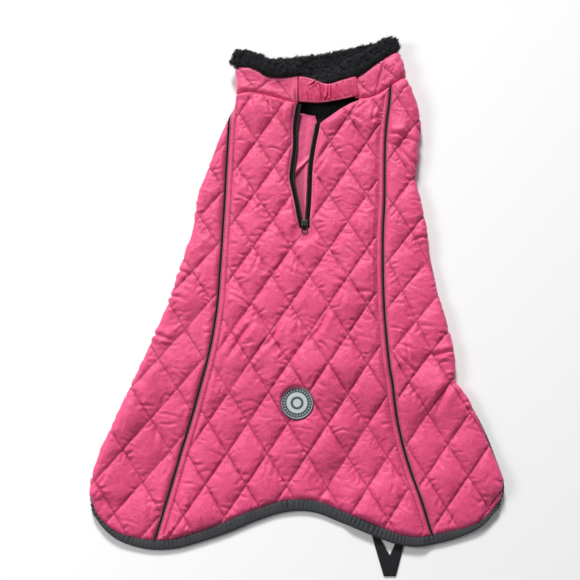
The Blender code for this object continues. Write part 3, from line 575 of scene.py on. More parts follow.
def rounded(points, step):
    """A smooth line through points, spread evenly."""
    points = np.asarray(points, float)
    length = travelled(points)
    across, along = columns(np.column_stack([length, points]))
    at = np.linspace(0, length[-1], max(2, math.ceil(length[-1] / 2)))
    return spread(np.stack([across(at), along(at)], axis=1), step)


def stations(low, high, step):
    """Places from low to high that fall on whole steps, so that neighbouring pieces share them."""
    first, last = sorted((low, high))
    whole = np.arange(math.ceil(first / step), math.floor(last / step) + 1) * step
    whole = whole[(whole > first + STATION_CLEAR) & (whole < last - STATION_CLEAR)]
    found = np.concatenate([[first], whole, [last]])
    return found if high > low else found[::-1]


def column(across, low, high, step=EDGE_STEP):
    """A line that runs along the coat, from one place to another."""
    at = stations(low, high, step)
    return np.stack([across(at), at], axis=1)


def row(along, low, high, step=EDGE_STEP):
    """A line that runs across the coat."""
    at = stations(low, high, step)
    return np.stack([at, along(at)], axis=1)


def joined(*lines):
    """Lines end to end as one loop, without points that nearly coincide."""
    points = np.vstack(lines)
    keep = [points[0]]
    for point in points[1:]:
        if np.linalg.norm(point - keep[-1]) > JOIN_CLEAR:
            keep.append(point)
    if np.linalg.norm(keep[0] - keep[-1]) <= JOIN_CLEAR:
        keep.pop()
    return np.array(keep)


def moved_in(line, distance):
    """A line moved to its left by a distance."""
    ahead = np.gradient(line, axis=0)
    ahead /= np.linalg.norm(ahead, axis=1)[:, None]
    return line + distance * np.stack([-ahead[:, 1], ahead[:, 0]], axis=1)


def kept(line, measure):
    """The stretch of a line where measure is positive, cut where it changes sign."""
    value = np.array([float(measure(*point)) for point in line])
    found = []
    for i in range(len(line)):
        if i and value[i - 1] * value[i] < 0:
            part = value[i - 1] / (value[i - 1] - value[i])
            found.append(line[i - 1] + part * (line[i] - line[i - 1]))
        if value[i] > 0:
            found.append(line[i])
    return np.array(found)


def hem_line():
    """The outer edge of the hem's binding, from the left belly seam round the cape to the right one."""
    curled = [row for row in CURL[:-1] if row[0] > 0]
    left = [(outline_across(y, "left") - over, y) for y, over, _ in curled]
    right = [(outline_across(y, "right") + over, y) for y, _, over in curled]
    left_end = under_across(LEFT_BELLY(HEM_TOP) - GAP / 2, HEM_TOP, "left")
    right_end = under_across(RIGHT_BELLY(HEM_TOP) + GAP / 2, HEM_TOP, "right")
    start = [(left_end, HEM_TOP), (left_end + 10, HEM_TOP)]
    end = [(right_end - 10, HEM_TOP), (right_end, HEM_TOP)]
    return rounded(start + left[::-1] + list(HEM) + right + end, EDGE_STEP)


def binding_width(line):
    """Width of the binding along the hem."""
    under = smooth_step((line[:, 1] - CURL_WIDTH_START) / CURL_WIDTH_OVER)
    return SHOWN_BINDING(line[:, 0]) * (1 - under) + BINDING * under


def meeting(across, along, start):
    """The place along the coat where a line along it meets a line across it."""
    place = start
    for _ in range(30):
        place = float(along(across(place)))
    return place


def inside_loop(points, loop):
    """Which points lie inside a closed outline."""
    start, end = loop, np.roll(loop, -1, axis=0)
    found = []
    for block in np.array_split(points, len(points) // 4000 + 1):
        x, y = block[:, 0][:, None], block[:, 1][:, None]
        spans = (start[:, 1] > y) != (end[:, 1] > y)
        with np.errstate(divide="ignore", invalid="ignore"):
            crossing = start[:, 0] + (y - start[:, 1]) * (end[:, 0] - start[:, 0]) / (end[:, 1] - start[:, 1])
        found.append((spans & (x < crossing)).sum(axis=1) % 2 == 1)
    return np.concatenate(found)


def nearest(points, loop):
    """Distance from each point to a closed outline, and how far round it the nearest place lies."""
    side = np.roll(loop, -1, axis=0) - loop
    size = np.linalg.norm(side, axis=1)
    before = np.concatenate([[0], np.cumsum(size)[:-1]])
    gaps, places = [], []
    for block in np.array_split(points, len(points) // 1500 + 1):
        away = block[:, None] - loop
        part = np.clip((away * side).sum(-1) / (size * size), 0, 1)
        gap = np.linalg.norm(away - part[..., None] * side, axis=-1)
        best = gap.argmin(axis=1)
        pick = (np.arange(len(block)), best)
        gaps.append(gap[pick])
        places.append(before[best] + part[pick] * size[best])
    return np.concatenate(gaps), np.concatenate(places)


# ------------------------------------------------------------------ quilting

# The right panel's stitch lines drift as they rise, because the cloth turns there.
DRIFT = (18.7, 5.7)
DRIFT_FROM = 120.0
DRIFT_OVER = 170.0


def drift(along, lattice):
    """How far the stitch lines have drifted at a place along the coat."""
    amount = smooth_step((along - DRIFT_FROM) / DRIFT_OVER) if lattice == "right" else 0 * along
    return amount[:, None] * np.array(DRIFT)


def from_lattice(left, right, lattice):
    """Points of the flat cut from places counted in steps of the stitch lines."""
    across, along, left_x, left_y, right_x, right_y = LATTICES[lattice]
    x = across + left * left_x + right * right_x
    y = along + left * left_y + right * right_y
    return np.stack([x, y], axis=1) + drift(y, lattice)


def to_lattice(points, lattice):
    """Places counted in steps of the stitch lines, from points of the flat cut."""
    across, along, left_x, left_y, right_x, right_y = LATTICES[lattice]
    straight = points
    for _ in range(5):
        straight = points - drift(straight[:, 1], lattice)
    area = left_x * right_y - right_x * left_y
    x, y = straight[:, 0] - across, straight[:, 1] - along
    return (x * right_y - y * right_x) / area, (y * left_x - x * left_y) / area


def quilt_points(lattice, loop, steps, margin):
    """Points inside an outline, on the stitch lines and evenly between them."""
    _, along, _, left_y, _, _ = LATTICES[lattice]
    low, high = loop.min(axis=0), loop.max(axis=0)
    reach = math.ceil((np.ptp(loop, axis=0).sum() + abs(along - low[1])) / abs(left_y)) * steps
    count = np.arange(-reach, reach + 1) / steps
    left, right = (each.ravel() for each in np.meshgrid(count, count))
    points = from_lattice(left, right, lattice)
    points = points[((points > low) & (points < high)).all(axis=1)]
    points = points[inside_loop(points, loop)]
    return points[nearest(points, loop)[0] > margin]


def hashed(column, line, seed):
    """A repeatable number from 0 to 1 for each cell of a grid."""
    value = np.sin(column * 127.1 + line * 311.7 + seed * 74.7) * 43758.5453
    return value - np.floor(value)


def waves(x, y, size, seed=0):
    """Smooth noise from -1 to 1 whose features are about this size."""
    x, y = np.asarray(x, float) / size, np.asarray(y, float) / size
    column, line = np.floor(x), np.floor(y)
    right, up = smooth_step(x - column), smooth_step(y - line)
    low = hashed(column, line, seed) * (1 - right) + hashed(column + 1, line, seed) * right
    high = hashed(column, line + 1, seed) * (1 - right) + hashed(column + 1, line + 1, seed) * right
    return 2 * (low * (1 - up) + high * up) - 1


def past_fold(points):
    """How far round its fold a point lies, in radians: 0 on top, 1.57 at the outline, over 3.14 below."""
    roll = ROLL(points[:, 1])
    past_left = LEFT_FOLD(points[:, 1]) + roll - points[:, 0]
    past_right = points[:, 0] - RIGHT_FOLD(points[:, 1]) + roll
    return np.maximum(np.maximum(past_left, past_right), 0) / (roll - WALL / 2)


def metres(points):
    """Points of the flat cut's frame, in metres from the model's origin."""
    return (np.asarray(points) - (CENTRE_ACROSS, CENTRE_ALONG, 0)) * MM


def triangulated(loop, inside):
    """(points, triangles) over an outline."""
    points = np.vstack([loop, inside]) if len(inside) else loop
    edges = [(i, (i + 1) % len(loop)) for i in range(len(loop))]
    made = delaunay_2d_cdt([Vector(point) for point in points], edges, [], 0, 1e-4)
    flat = np.array([tuple(point) for point in made[0]])
    faces = np.array(made[2])
    faces = faces[inside_loop(flat[faces].mean(axis=1), loop)]
    used = np.unique(faces)
    return flat[used], np.searchsorted(used, faces)


def boundary(faces):
    """The edges that only one triangle has, in that triangle's direction."""
    directed = np.concatenate([faces[:, [0, 1]], faces[:, [1, 2]], faces[:, [2, 0]]])
    pairs = {tuple(edge) for edge in directed.tolist()}
    return [(a, b) for a, b in pairs if (b, a) not in pairs]


def add_mesh(name, points, faces, *finishes, smooth=True):
    """A mesh object from points in millimetres."""
    points = np.array(points, float)
    points[:, 2] = np.maximum(points[:, 2], 0)
    data = bpy.data.meshes.new(name)
    data.from_pydata(metres(points).tolist(), [], [tuple(face) for face in faces])
    data.validate()
    if smooth:
        data.shade_smooth()
    made = bpy.data.objects.new(name, data)
    for finish in finishes:
        data.materials.append(finish)
    bpy.context.scene.collection.objects.link(made)
    return made


def shade(made, amounts):
    """Says at each point how much painted shade the material gets, from 0 to 1."""
    made.data.attributes.new("painted_shade", "FLOAT", "POINT").data.foreach_set("value", np.ravel(amounts))


# ------------------------------------------------------------------ padded cloth

# How full the padding is drawn, over what width it fades at an edge, and how far the simulation may move it.
PUFF_START = 3.1
PUFF_FADE = 5.0
PUFF_MORE = 1.3
PUFF_SIDEWAYS = 1.3

# The cloth simulation runs on an enlarged copy, in Blender's own units.
SIM_SCALE = 10.0
SIM_FRAMES = 14
SIM_SETTINGS = {
    "quality": 6,
    "mass": 0.2,
    "tension_stiffness": 18,
    "compression_stiffness": 12,
    "shear_stiffness": 6,
    "bending_stiffness": 0.4,
    "tension_damping": 12,
    "compression_damping": 12,
    "shear_damping": 12,
    "bending_damping": 2,
    "air_damping": 4,
    "vertex_group_mass": "sewn",
    "shrink_min": -0.015,
    "use_pressure": True,
    "uniform_pressure_force": 2.0,
}


def settle(points, faces, pinned, outwards, freedom):
    """Fills out padded cloth between its stitch lines with a cloth simulation, and returns its points."""
    big = points * MM * SIM_SCALE
    data = bpy.data.meshes.new("settling")
    data.from_pydata(big.tolist(), [], faces.tolist())
    made = bpy.data.objects.new("settling", data)
    bpy.context.scene.collection.objects.link(made)
    group = made.vertex_groups.new(name="sewn")
    group.add([int(i) for i in np.flatnonzero(pinned)], 1.0, "REPLACE")
    cloth = made.modifiers.new("cloth", "CLOTH")
    for setting, value in SIM_SETTINGS.items():
        setattr(cloth.settings, setting, value)
    cloth.settings.effector_weights.gravity = 0
    cloth.collision_settings.use_collision = False
    scene = bpy.context.scene
    cloth.point_cache.frame_end = SIM_FRAMES
    for step in range(1, SIM_FRAMES + 1):
        scene.frame_set(step)
    graph = bpy.context.evaluated_depsgraph_get()
    found = np.empty(len(points) * 3, np.float32)
    made.evaluated_get(graph).to_mesh().vertices.foreach_get("co", found)
    found = found.reshape(-1, 3) / (MM * SIM_SCALE)
    scene.frame_set(1)
    bpy.data.objects.remove(made)
    moved = found - points
    proud = (moved * outwards).sum(axis=1)
    beside = moved - proud[:, None] * outwards
    size = np.linalg.norm(beside, axis=1)
    beside *= (PUFF_SIDEWAYS * np.tanh(size / PUFF_SIDEWAYS) / np.maximum(size, 1e-9))[:, None]
    proud = PUFF_MORE * np.tanh(proud / PUFF_MORE)
    return points + (proud[:, None] * outwards + beside) * freedom[:, None]


# ------------------------------------------------------------------ materials


def shader_of(name, inputs):
    """A material, its node tree and its shader, with some of the shader's inputs set."""
    made = bpy.data.materials.new(name)
    made.use_nodes = True
    tree = made.node_tree
    shader = tree.nodes["Principled BSDF"]
    for key, value in inputs.items():
        shader.inputs[key].default_value = value
    return made, tree, shader


def textured(tree, kind, scale, turned=(0, 0, 0), **inputs):
    """A texture in the object's own metres; scale is in features to the metre, one number or three."""
    where = tree.nodes.new("ShaderNodeTexCoord")
    turn = tree.nodes.new("ShaderNodeMapping")
    turn.inputs["Rotation"].default_value = turned
    turn.inputs["Scale"].default_value = scale if hasattr(scale, "__len__") else (scale,) * 3
    tree.links.new(where.outputs["Object"], turn.inputs["Vector"])
    made = tree.nodes.new(f"ShaderNodeTex{kind}")
    for name, value in inputs.items():
        made.inputs[name].default_value = value
    tree.links.new(turn.outputs["Vector"], made.inputs["Vector"])
    return made.outputs["Fac"] if "Fac" in made.outputs else made.outputs[0]


def tinted(tree, shader, amount, low, high):
    """The base colour, between two colours as a texture goes from low to high."""
    ramp = tree.nodes.new("ShaderNodeValToRGB")
    for element, position, colour in zip(ramp.color_ramp.elements, (0.3, 0.7), (low, high)):
        element.position = position
        element.color = (*colour, 1)
    tree.links.new(amount, ramp.inputs["Fac"])
    tree.links.new(ramp.outputs["Color"], shader.inputs["Base Color"])


def bumped(tree, shader, *layers):
    """Bump from (height, strength, depth in mm) layers."""
    last = None
    for height, strength, depth in layers:
        bump = tree.nodes.new("ShaderNodeBump")
        bump.inputs["Strength"].default_value = strength
        bump.inputs["Distance"].default_value = depth * MM
        tree.links.new(height, bump.inputs["Height"])
        if last is not None:
            tree.links.new(last, bump.inputs["Normal"])
        last = bump.outputs["Normal"]
    tree.links.new(last, shader.inputs["Normal"])


def darkened(tree, shader, colour):
    """Paints shade: mixes in a darker colour where a mesh's shade attribute says so."""
    pulled = tree.nodes.new("ShaderNodeAttribute")
    pulled.attribute_name = "painted_shade"
    darker = tree.nodes.new("ShaderNodeMix")
    darker.data_type = "RGBA"
    darker.inputs["B"].default_value = (*colour, 1)
    tree.links.new(pulled.outputs["Fac"], darker.inputs["Factor"])
    tree.links.new(shader.inputs["Base Color"].links[0].from_socket, darker.inputs["A"])
    tree.links.new(darker.outputs["Result"], shader.inputs["Base Color"])


def nylon(name, low, high, crinkle=0.28):
    """Light nylon: a fine weave, small crinkles, a soft sheen, and painted shade in its stitch grooves and
    seams.
    """
    made, tree, shader = shader_of(name, {
        "Roughness": 0.42,
        "Specular IOR Level": 0.38,
        "Sheen Weight": 0.10,
        "Sheen Roughness": 0.4,
        "Sheen Tint": (1.0, 0.62, 0.76, 1),
    })
    tinted(tree, shader, textured(tree, "Noise", 38.0, Detail=3.0), low, high)
    # painted shade where a mesh's shade attribute asks for it: stitch grooves, seams, the band's shadow
    darkened(tree, shader, [0.42 * value for value in low])
    weave = textured(tree, "Voronoi", (2100.0, 2100.0, 900.0), (0, 0, 0.05))
    small = textured(tree, "Noise", (330.0, 210.0, 300.0), (0, 0, 0.6), Detail=4.0, Roughness=0.6)
    large = textured(tree, "Noise", (120.0, 62.0, 100.0), (0, 0, -0.5), Detail=2.0, Distortion=1.2)
    bumped(tree, shader, (weave, 0.14, 0.08), (small, crinkle, 0.5), (large, crinkle * 1.3, 2.6))
    return made


def woven(name, low, high, roughness=0.85, pitch=1.1, depth=0.25, sheen=0.0, shine=0.25, tucks=False):
    """Tape, thread or plain cloth with a diagonal rib; tucks lets its meshes paint shade into the valleys of
    their tucks.
    """
    made, tree, shader = shader_of(name, {
        "Roughness": roughness,
        "Specular IOR Level": shine,
        "Sheen Weight": sheen,
        "Sheen Roughness": 0.5,
    })
    tinted(tree, shader, textured(tree, "Noise", 220.0, Detail=3.0), low, high)
    if tucks:
        # painted shade in the valleys of the tucks
        darkened(tree, shader, [0.3 * value for value in low])
    ribs_to_the_metre = 1000 / pitch / (2 * math.pi) * 0.32
    ribs = textured(tree, "Wave", ribs_to_the_metre, (0, 0, 0.7), Distortion=0.6, Detail=1.0)
    grain = textured(tree, "Noise", 1500.0, Detail=2.0)
    bumped(tree, shader, (ribs, 0.5, depth), (grain, 0.4, 0.12))
    return made


def sherpa(name, low, high):
    """Matt curly pile, with painted shade, nearly black, in the hollows between its curls."""
    made, tree, shader = shader_of(name, {
        "Roughness": 0.96,
        "Specular IOR Level": 0.15,
        "Sheen Weight": 0.12,
        "Sheen Roughness": 0.6,
        "Sheen Tint": (0.6, 0.62, 0.68, 1),
    })
    tinted(tree, shader, textured(tree, "Noise", 420.0, Detail=3.0), low, high)
    # painted shade of the pile's hollows, where a mesh's shade attribute asks for it
    darkened(tree, shader, (0.006, 0.006, 0.007))
    bumped(tree, shader, (textured(tree, "Noise", 900.0, Detail=4.0, Roughness=0.7), 0.9, 0.7))
    return made


def hard(name, low, high, roughness, metallic=0.0):
    """Plastic or enamelled metal with a faint grain."""
    made, tree, shader = shader_of(name, {"Roughness": roughness, "Metallic": metallic})
    tinted(tree, shader, textured(tree, "Noise", 500.0, Detail=3.0), low, high)
    bumped(tree, shader, (textured(tree, "Noise", 1000.0, Detail=2.0), 0.3, 0.05))
    return made


PINK = nylon("pink_nylon", (0.70, 0.061, 0.180), (0.81, 0.084, 0.228))
# The band is the same pink nylon, coloured darker as painted shade.
PINK_SHADED = nylon("pink_band_shaded", (0.60, 0.034, 0.125), (0.73, 0.052, 0.170))
PINK_PALE = nylon("pink_guard", (0.72, 0.074, 0.205), (0.80, 0.096, 0.245), 0.16)
# Pink thread, darker than the cloth: partly the thread, partly painted shade of the grooves that it lies in.
PINK_THREAD = woven("pink_thread", (0.36, 0.022, 0.085), (0.46, 0.034, 0.12), 0.7, 0.5, 0.1)
PALE_THREAD = woven("pale_thread", (0.86, 0.44, 0.56), (0.93, 0.54, 0.64), 0.7, 0.5, 0.1)
GREY_TAPE = woven(
    "grey_binding", (0.034, 0.036, 0.040), (0.060, 0.062, 0.068), 0.85, 1.2, 0.3, sheen=0.02, tucks=True
)
GREY_THREAD = woven("grey_thread", (0.13, 0.135, 0.145), (0.18, 0.185, 0.195), 0.8, 0.5, 0.1)
PIPING_CORD = woven("dark_piping", (0.013, 0.005, 0.008), (0.028, 0.012, 0.018), 0.8, 0.8, 0.2, shine=0.1)
# Pale pink: a painted highlight along the cloth's edge beside the cord.
PIPING_HIGHLIGHT = woven("piping_edge_highlight", (0.34, 0.16, 0.22), (0.46, 0.24, 0.31), 0.5, 0.6, 0.1)
# The roll's body and its curls are one charcoal pile; the body is coloured darker as painted shade of the
# pile's depths.
SHERPA = sherpa("charcoal_sherpa", (0.012, 0.012, 0.014), (0.030, 0.030, 0.034))
SHERPA_CURLS = sherpa("charcoal_curls", (0.018, 0.018, 0.021), (0.105, 0.107, 0.116))
LINING_CLOTH = woven("black_lining", (0.006, 0.006, 0.007), (0.012, 0.012, 0.014), 0.92, 0.7, 0.15)
ZIP_CLOTH = woven("black_zip_tape", (0.004, 0.004, 0.005), (0.011, 0.010, 0.012), 0.9, 0.8, 0.15, shine=0.08)
ZIP_TEETH = hard("black_zip_teeth", (0.006, 0.006, 0.007), (0.014, 0.014, 0.017), 0.55)
METAL = hard("black_enamel", (0.008, 0.008, 0.010), (0.016, 0.016, 0.019), 0.42, 0.15)
ELASTIC = woven("black_elastic", (0.008, 0.008, 0.010), (0.020, 0.020, 0.023), 0.85, 0.9, 0.3)
BADGE_DARK = hard("badge_dark", (0.060, 0.066, 0.070), (0.080, 0.087, 0.092), 0.55)
BADGE_PALE = hard("badge_pale", (0.46, 0.50, 0.51), (0.54, 0.58, 0.59), 0.5)


# ------------------------------------------------------------------ quilted panels

# The margin beside the piping, which is sewn down along both its sides, and the rows of points along an edge.
MARGIN = 5.4
MARGIN_STEP = 1.35
MARGIN_ROWS = 4
GRID_CLEAR = 4.6 * MARGIN_STEP

# The seam's puckers: from one to the next, how high they stand, and how far they reach from their seam.
PUCKER = 3.3
PUCKER_HEIGHT = 0.62
PUCKER_REACH = 2.4
EDGE_DROP = 1.1
LINE_REACH = 0.75
GROOVE = 1.0

# The padding thins out this far round the fold, in radians.
UNDER_TURN = 2.2
UNDER_FADE = 0.9

# Numbers of small creases anywhere and at the stitch lines, for a panel of this many square millimetres.
CREASE_AREA = 1.25e5
CREASE_COUNT = 260
LINE_CREASES = 700
CREASE_TURNS = (-42, -24, -10, 66, 84)
CRUMPLE = 0.95
UNDULATION = 2.4
# How strong the painted shade is in the stitch grooves, along the seams and in the band's shadow.
SHADE = 0.62

# The creases that the cloth has taken, each from one end to the other: a furrow with its sides pushed up.
CREASES = (
    # across, along, across, along, half width, depth
    (15.0, 280.0, 41.0, 262.0, 2.6, 2.0),
    (-30.0, 446.0, -6.0, 402.0, 3.2, 1.9),
    (-44.0, 448.0, -38.0, 412.0, 3.0, 1.2),
    (106.0, 158.0, 124.0, 138.0, 2.6, 2.0),
    (112.0, 160.0, 128.0, 152.0, 2.4, 1.5),
    (118.0, 165.0, 121.0, 141.0, 2.4, 1.3),
    (166.0, 154.0, 139.0, 149.0, 3.2, 2.4),
    (104.0, 396.0, 142.0, 380.0, 3.6, 2.4),
    (118.0, 380.0, 146.0, 349.0, 3.2, 1.8),
    (141.0, 345.0, 124.0, 341.0, 2.6, 1.8),
    (148.0, 276.0, 128.0, 270.0, 2.8, 1.6),
    (-120.0, 242.0, -98.0, 232.0, 3.0, 1.8),
    (-133.0, 213.0, -108.0, 206.0, 3.0, 1.8),
    (-148.0, 172.0, -122.0, 164.0, 3.2, 2.0),
    (-64.0, 212.0, -84.0, 192.0, 3.2, 1.6),
    (-66.0, 214.0, -20.0, 176.0, 2.8, 1.2),
    (-38.0, 184.0, -66.0, 140.0, 4.2, 2.2),
    (-8.0, 186.0, -34.0, 150.0, 3.4, 1.6),
    (40.0, 198.0, 10.0, 156.0, 4.0, 1.9),
    (48.0, 230.0, 74.0, 212.0, 3.0, 1.2),
    (30.0, 165.0, 44.0, 140.0, 2.6, 1.3),
    (166.0, 122.0, 148.0, 84.0, 5.0, 2.6),
    (20.0, 340.0, 42.0, 372.0, 3.0, 1.2),
    (60.0, 420.0, 84.0, 404.0, 3.0, 1.1),
    (-24.0, 300.0, -46.0, 330.0, 3.0, 1.1),
    (-58.0, 326.0, -36.0, 318.0, 2.6, 1.1),
    (-11.0, 433.0, -10.0, 421.0, 1.2, 0.9),
    (-7.5, 433.0, -7.5, 419.0, 1.2, 1.1),
    (-4.0, 433.0, -4.5, 421.0, 1.2, 1.0),
    (-0.5, 432.0, -0.5, 417.0, 1.2, 1.1),
    (3.0, 431.0, 2.0, 421.0, 1.2, 0.9),
    (-24.0, 436.0, -14.0, 408.0, 2.2, 1.4),
    (88.0, 434.0, 62.0, 404.0, 2.6, 1.3),
    (96.0, 430.0, 92.0, 402.0, 2.2, 1.1),
)


def ring_points(loop):
    """Rows of points that follow an outline, so that its margin can pucker."""
    ahead = np.roll(loop, -1, axis=0) - np.roll(loop, 1, axis=0)
    ahead /= np.linalg.norm(ahead, axis=1)[:, None]
    inwards = np.stack([-ahead[:, 1], ahead[:, 0]], axis=1)
    if not inside_loop((loop + inwards * 0.5)[:50], loop).mean() > 0.5:
        inwards = -inwards
    found = []
    for count in range(1, MARGIN_ROWS + 1):
        line = loop + inwards * MARGIN_STEP * count
        line = line[inside_loop(line, loop)]
        found.append(line[nearest(line, loop)[0] > MARGIN_STEP * count * 0.93])
    return np.vstack(found)


def furrow(points, start, end, width, depth):
    """One crease: deep along its middle, pushed up beside it, fading at both ends."""
    start, end = np.asarray(start, float), np.asarray(end, float)
    length = np.linalg.norm(end - start)
    ahead = (end - start) / length
    near = np.flatnonzero(np.abs(points - (start + end) / 2).max(axis=1) < length / 2 + 4 * width)
    over = (points[near] - start) @ ahead
    bend = 0.10 * length * math.sin(start[0] * 12.9 + end[1] * 7.7)
    beside = (points[near] - start) @ np.array([-ahead[1], ahead[0]])
    beside = np.abs(beside - bend * np.sin(math.pi * np.clip(over / length, 0, 1)))
    fade = smooth_step(over / (0.25 * length) + 0.2) * smooth_step((length - over) / (0.5 * length) + 0.1)
    total = np.zeros(len(points))
    total[near] = depth * fade * (0.55 * bell(beside - 1.35 * width, width) - bell(beside, 0.55 * width))
    return total


def furrows(points, rows):
    """The sum of a table's creases."""
    return sum(furrow(points, row[:2], row[2:4], *row[4:]) for row in rows)


def small_creases(points, lattice, seed):
    """Short creases: most start at a stitch line, where the sewing gathers the cloth."""
    draw = np.random.default_rng(seed)
    low, high = points.min(axis=0), points.max(axis=0)
    area = np.prod(high - low)
    total = np.zeros(len(points))
    for _ in range(int(CREASE_COUNT * area / CREASE_AREA)):
        at = draw.uniform(low, high)
        turn = math.radians(draw.choice(CREASE_TURNS) + draw.normal(0, 14))
        end = at + draw.uniform(8, 24) * np.array([math.cos(turn), math.sin(turn)])
        total += furrow(points, at, end, draw.uniform(1.6, 3.2), draw.uniform(0.3, 0.9))
    spans = [(place.min(), place.max()) for place in to_lattice(points, lattice)]
    steps = LATTICES[lattice][2:4], LATTICES[lattice][4:6]
    for _ in range(int(LINE_CREASES * area / CREASE_AREA)):
        way = 0 if draw.random() < 0.5 else 1
        (least, most), (first, last) = spans[way], spans[1 - way]
        line = draw.integers(math.floor(first), math.ceil(last) + 1)
        at = draw.uniform(least, most)
        # more of them near the crossings
        at += 0.35 * (np.round(at) - at) * draw.random()
        left, right = (line, at) if way else (at, line)
        place = from_lattice(np.array([left]), np.array([right]), lattice)[0]
        turn = math.atan2(steps[way][1], steps[way][0])
        turn += draw.choice((-1, 1)) * math.radians(draw.uniform(48, 95))
        reach = draw.uniform(5.0, 11.0) * draw.uniform(0.8, 1.3)
        end = place + reach * np.array([math.cos(turn), math.sin(turn)])
        total += furrow(points, place, end, draw.uniform(1.3, 2.3), draw.uniform(0.3, 1.0))
    return total


def crumpled(points, seed):
    """Sharp little ridges in patches, as light nylon crumples."""
    x, y = points.T
    bent_x = x + 5 * waves(x, y, 17.0, seed)
    bent_y = y + 5 * waves(x, y, 19.0, seed + 1)
    large = 1 - np.abs(waves(0.9 * bent_x + 0.5 * bent_y, 0.8 * bent_y - 0.5 * bent_x, 15.0, seed + 2))
    small = 1 - np.abs(waves(0.7 * bent_x - 0.6 * bent_y, 0.9 * bent_y + 0.4 * bent_x, 8.0, seed + 3))
    patches = 0.65 + 0.45 * waves(x, y, 34.0, seed + 4)
    lower = 1 - 0.35 * smooth_step((130 - y) / 60)
    return (CRUMPLE * large**3 + 0.5 * CRUMPLE * small**3) * patches * lower


def cushion(place):
    """Section of the padding between two stitch lines, steep at both; place is counted in steps."""
    inside = 2 * np.abs(place - np.round(place))
    return np.sqrt(np.clip(1 - (1 - inside) ** 2, 0, 1))


SURFACES = {}


def remember_surface(node, flat, heights):
    """Keeps how high a panel's outer face stands at each point, for what is sewn on it."""
    tree = KDTree(len(flat))
    for i, (across, along) in enumerate(flat.tolist()):
        tree.insert((across, along, 0), i)
    tree.balance()
    SURFACES[node] = (tree, heights)


def surface_height(node, points):
    """Height of a panel's outer face over its wall, at points of the flat cut."""
    tree, heights = SURFACES[node]
    found = []
    for across, along in np.asarray(points, float).tolist():
        near = tree.find_n((across, along, 0), 3)
        weights = [1 / (distance + 0.05) ** 2 for _, _, distance in near]
        found.append(sum(w * heights[i] for w, (_, i, _) in zip(weights, near)) / sum(weights))
    return np.array(found)


def panel_grid(loop, lattice):
    """Points and triangles of a panel's outer face, coarser where it lies underneath."""
    inside = np.vstack([ring_points(loop), quilt_points(lattice, loop, FINE_STEPS, GRID_CLEAR)])
    wanted = (np.arange(len(inside)) % 4 == 0) | (past_fold(inside) < math.pi + 0.3)
    return triangulated(loop, inside[wanted])


def in_margin(flat, loop, place):
    """Which points lie beside the piping: close to it, and nearest to an upright side of the outline."""
    side = np.roll(loop, -1, axis=0) - loop
    size = np.linalg.norm(side, axis=1)
    before = np.concatenate([[0], np.cumsum(size)[:-1]])
    upright = np.abs(np.interp(place, before, side[:, 1] / size)) > 0.8
    return upright & (beside_piping(flat) < MARGIN + 9)


def away_from_lines(left, right, lattice):
    """Distance to the nearest stitch line, from places counted in steps."""
    _, _, left_x, left_y, right_x, right_y = LATTICES[lattice]
    area = abs(left_x * right_y - right_x * left_y)
    return np.minimum(
        np.abs(left - np.round(left)) * area / math.hypot(right_x, right_y),
        np.abs(right - np.round(right)) * area / math.hypot(left_x, left_y),
    )


def away_from_badge(points):
    """Distance of points of the flat cut from the badge's centre."""
    return np.hypot(points[:, 0] - BADGE_CENTRE[0], points[:, 1] - BADGE_CENTRE[1])


def pillows(flat, left, right, seed):
    """The padding between the stitch lines, each pillow as full as chance has it and leaning a little."""
    fullness = 0.78 + 0.36 * hashed(np.floor(left), np.floor(right), seed)
    lean = 0.22 * waves(*flat.T, 26.0, seed + 7)
    return cushion(left) * cushion(right) * (fullness + lean)


def undulation(flat, seed):
    """Slow waves of the whole panel."""
    x, y = flat.T
    return UNDULATION * waves(x * 0.8 + y * 0.45, y * 0.8 - x * 0.45, 46.0, seed + 5)


def edge_puckers(place, seed):
    """How the seam gathers the cloth, from -1 to 1, at places round the outline."""
    still = 0 * place
    puckers = np.sin(2 * math.pi * place / PUCKER + 2.2 * waves(place, still, 11.0, seed))
    return puckers * (0.65 + 0.35 * waves(place, still, 7.0, seed + 3))


def beside_band(flat, height):
    """Sinks the collar's right end where the band overlaps it, and gives the painted shadow that the band's
    end casts beside it.
    """
    past = flat[:, 0] - TAB[-1][0] + 0.12 * (flat[:, 1] - TAB[-1][1])
    return height - (0.8 + height.clip(0)) * smooth_step((5 - past) / 5), bell(past.clip(0), 1.3)


def quilted_mesh(name, loop, lattice, flat, faces, points):
    """A panel's mesh: its shaped outer face, a plain inner one, and the rim between them."""
    inner_flat, inner_faces = triangulated(loop, quilt_points(lattice, loop, COARSE_STEPS, 4.5))
    inner = lay(*inner_flat.T, 0.0)
    twins = {tuple(np.round(point, 4)): len(flat) + i for i, point in enumerate(inner_flat)}
    rim = []
    for a, b in boundary(faces):
        a_twin, b_twin = (twins.get(tuple(np.round(flat[i], 4))) for i in (a, b))
        if a_twin is not None and b_twin is not None:
            rim.append((b, a, a_twin, b_twin))
    under = (inner_faces[:, ::-1] + len(flat)).tolist()
    return add_mesh(name, np.vstack([points, inner]), faces.tolist() + rim + under, PINK)


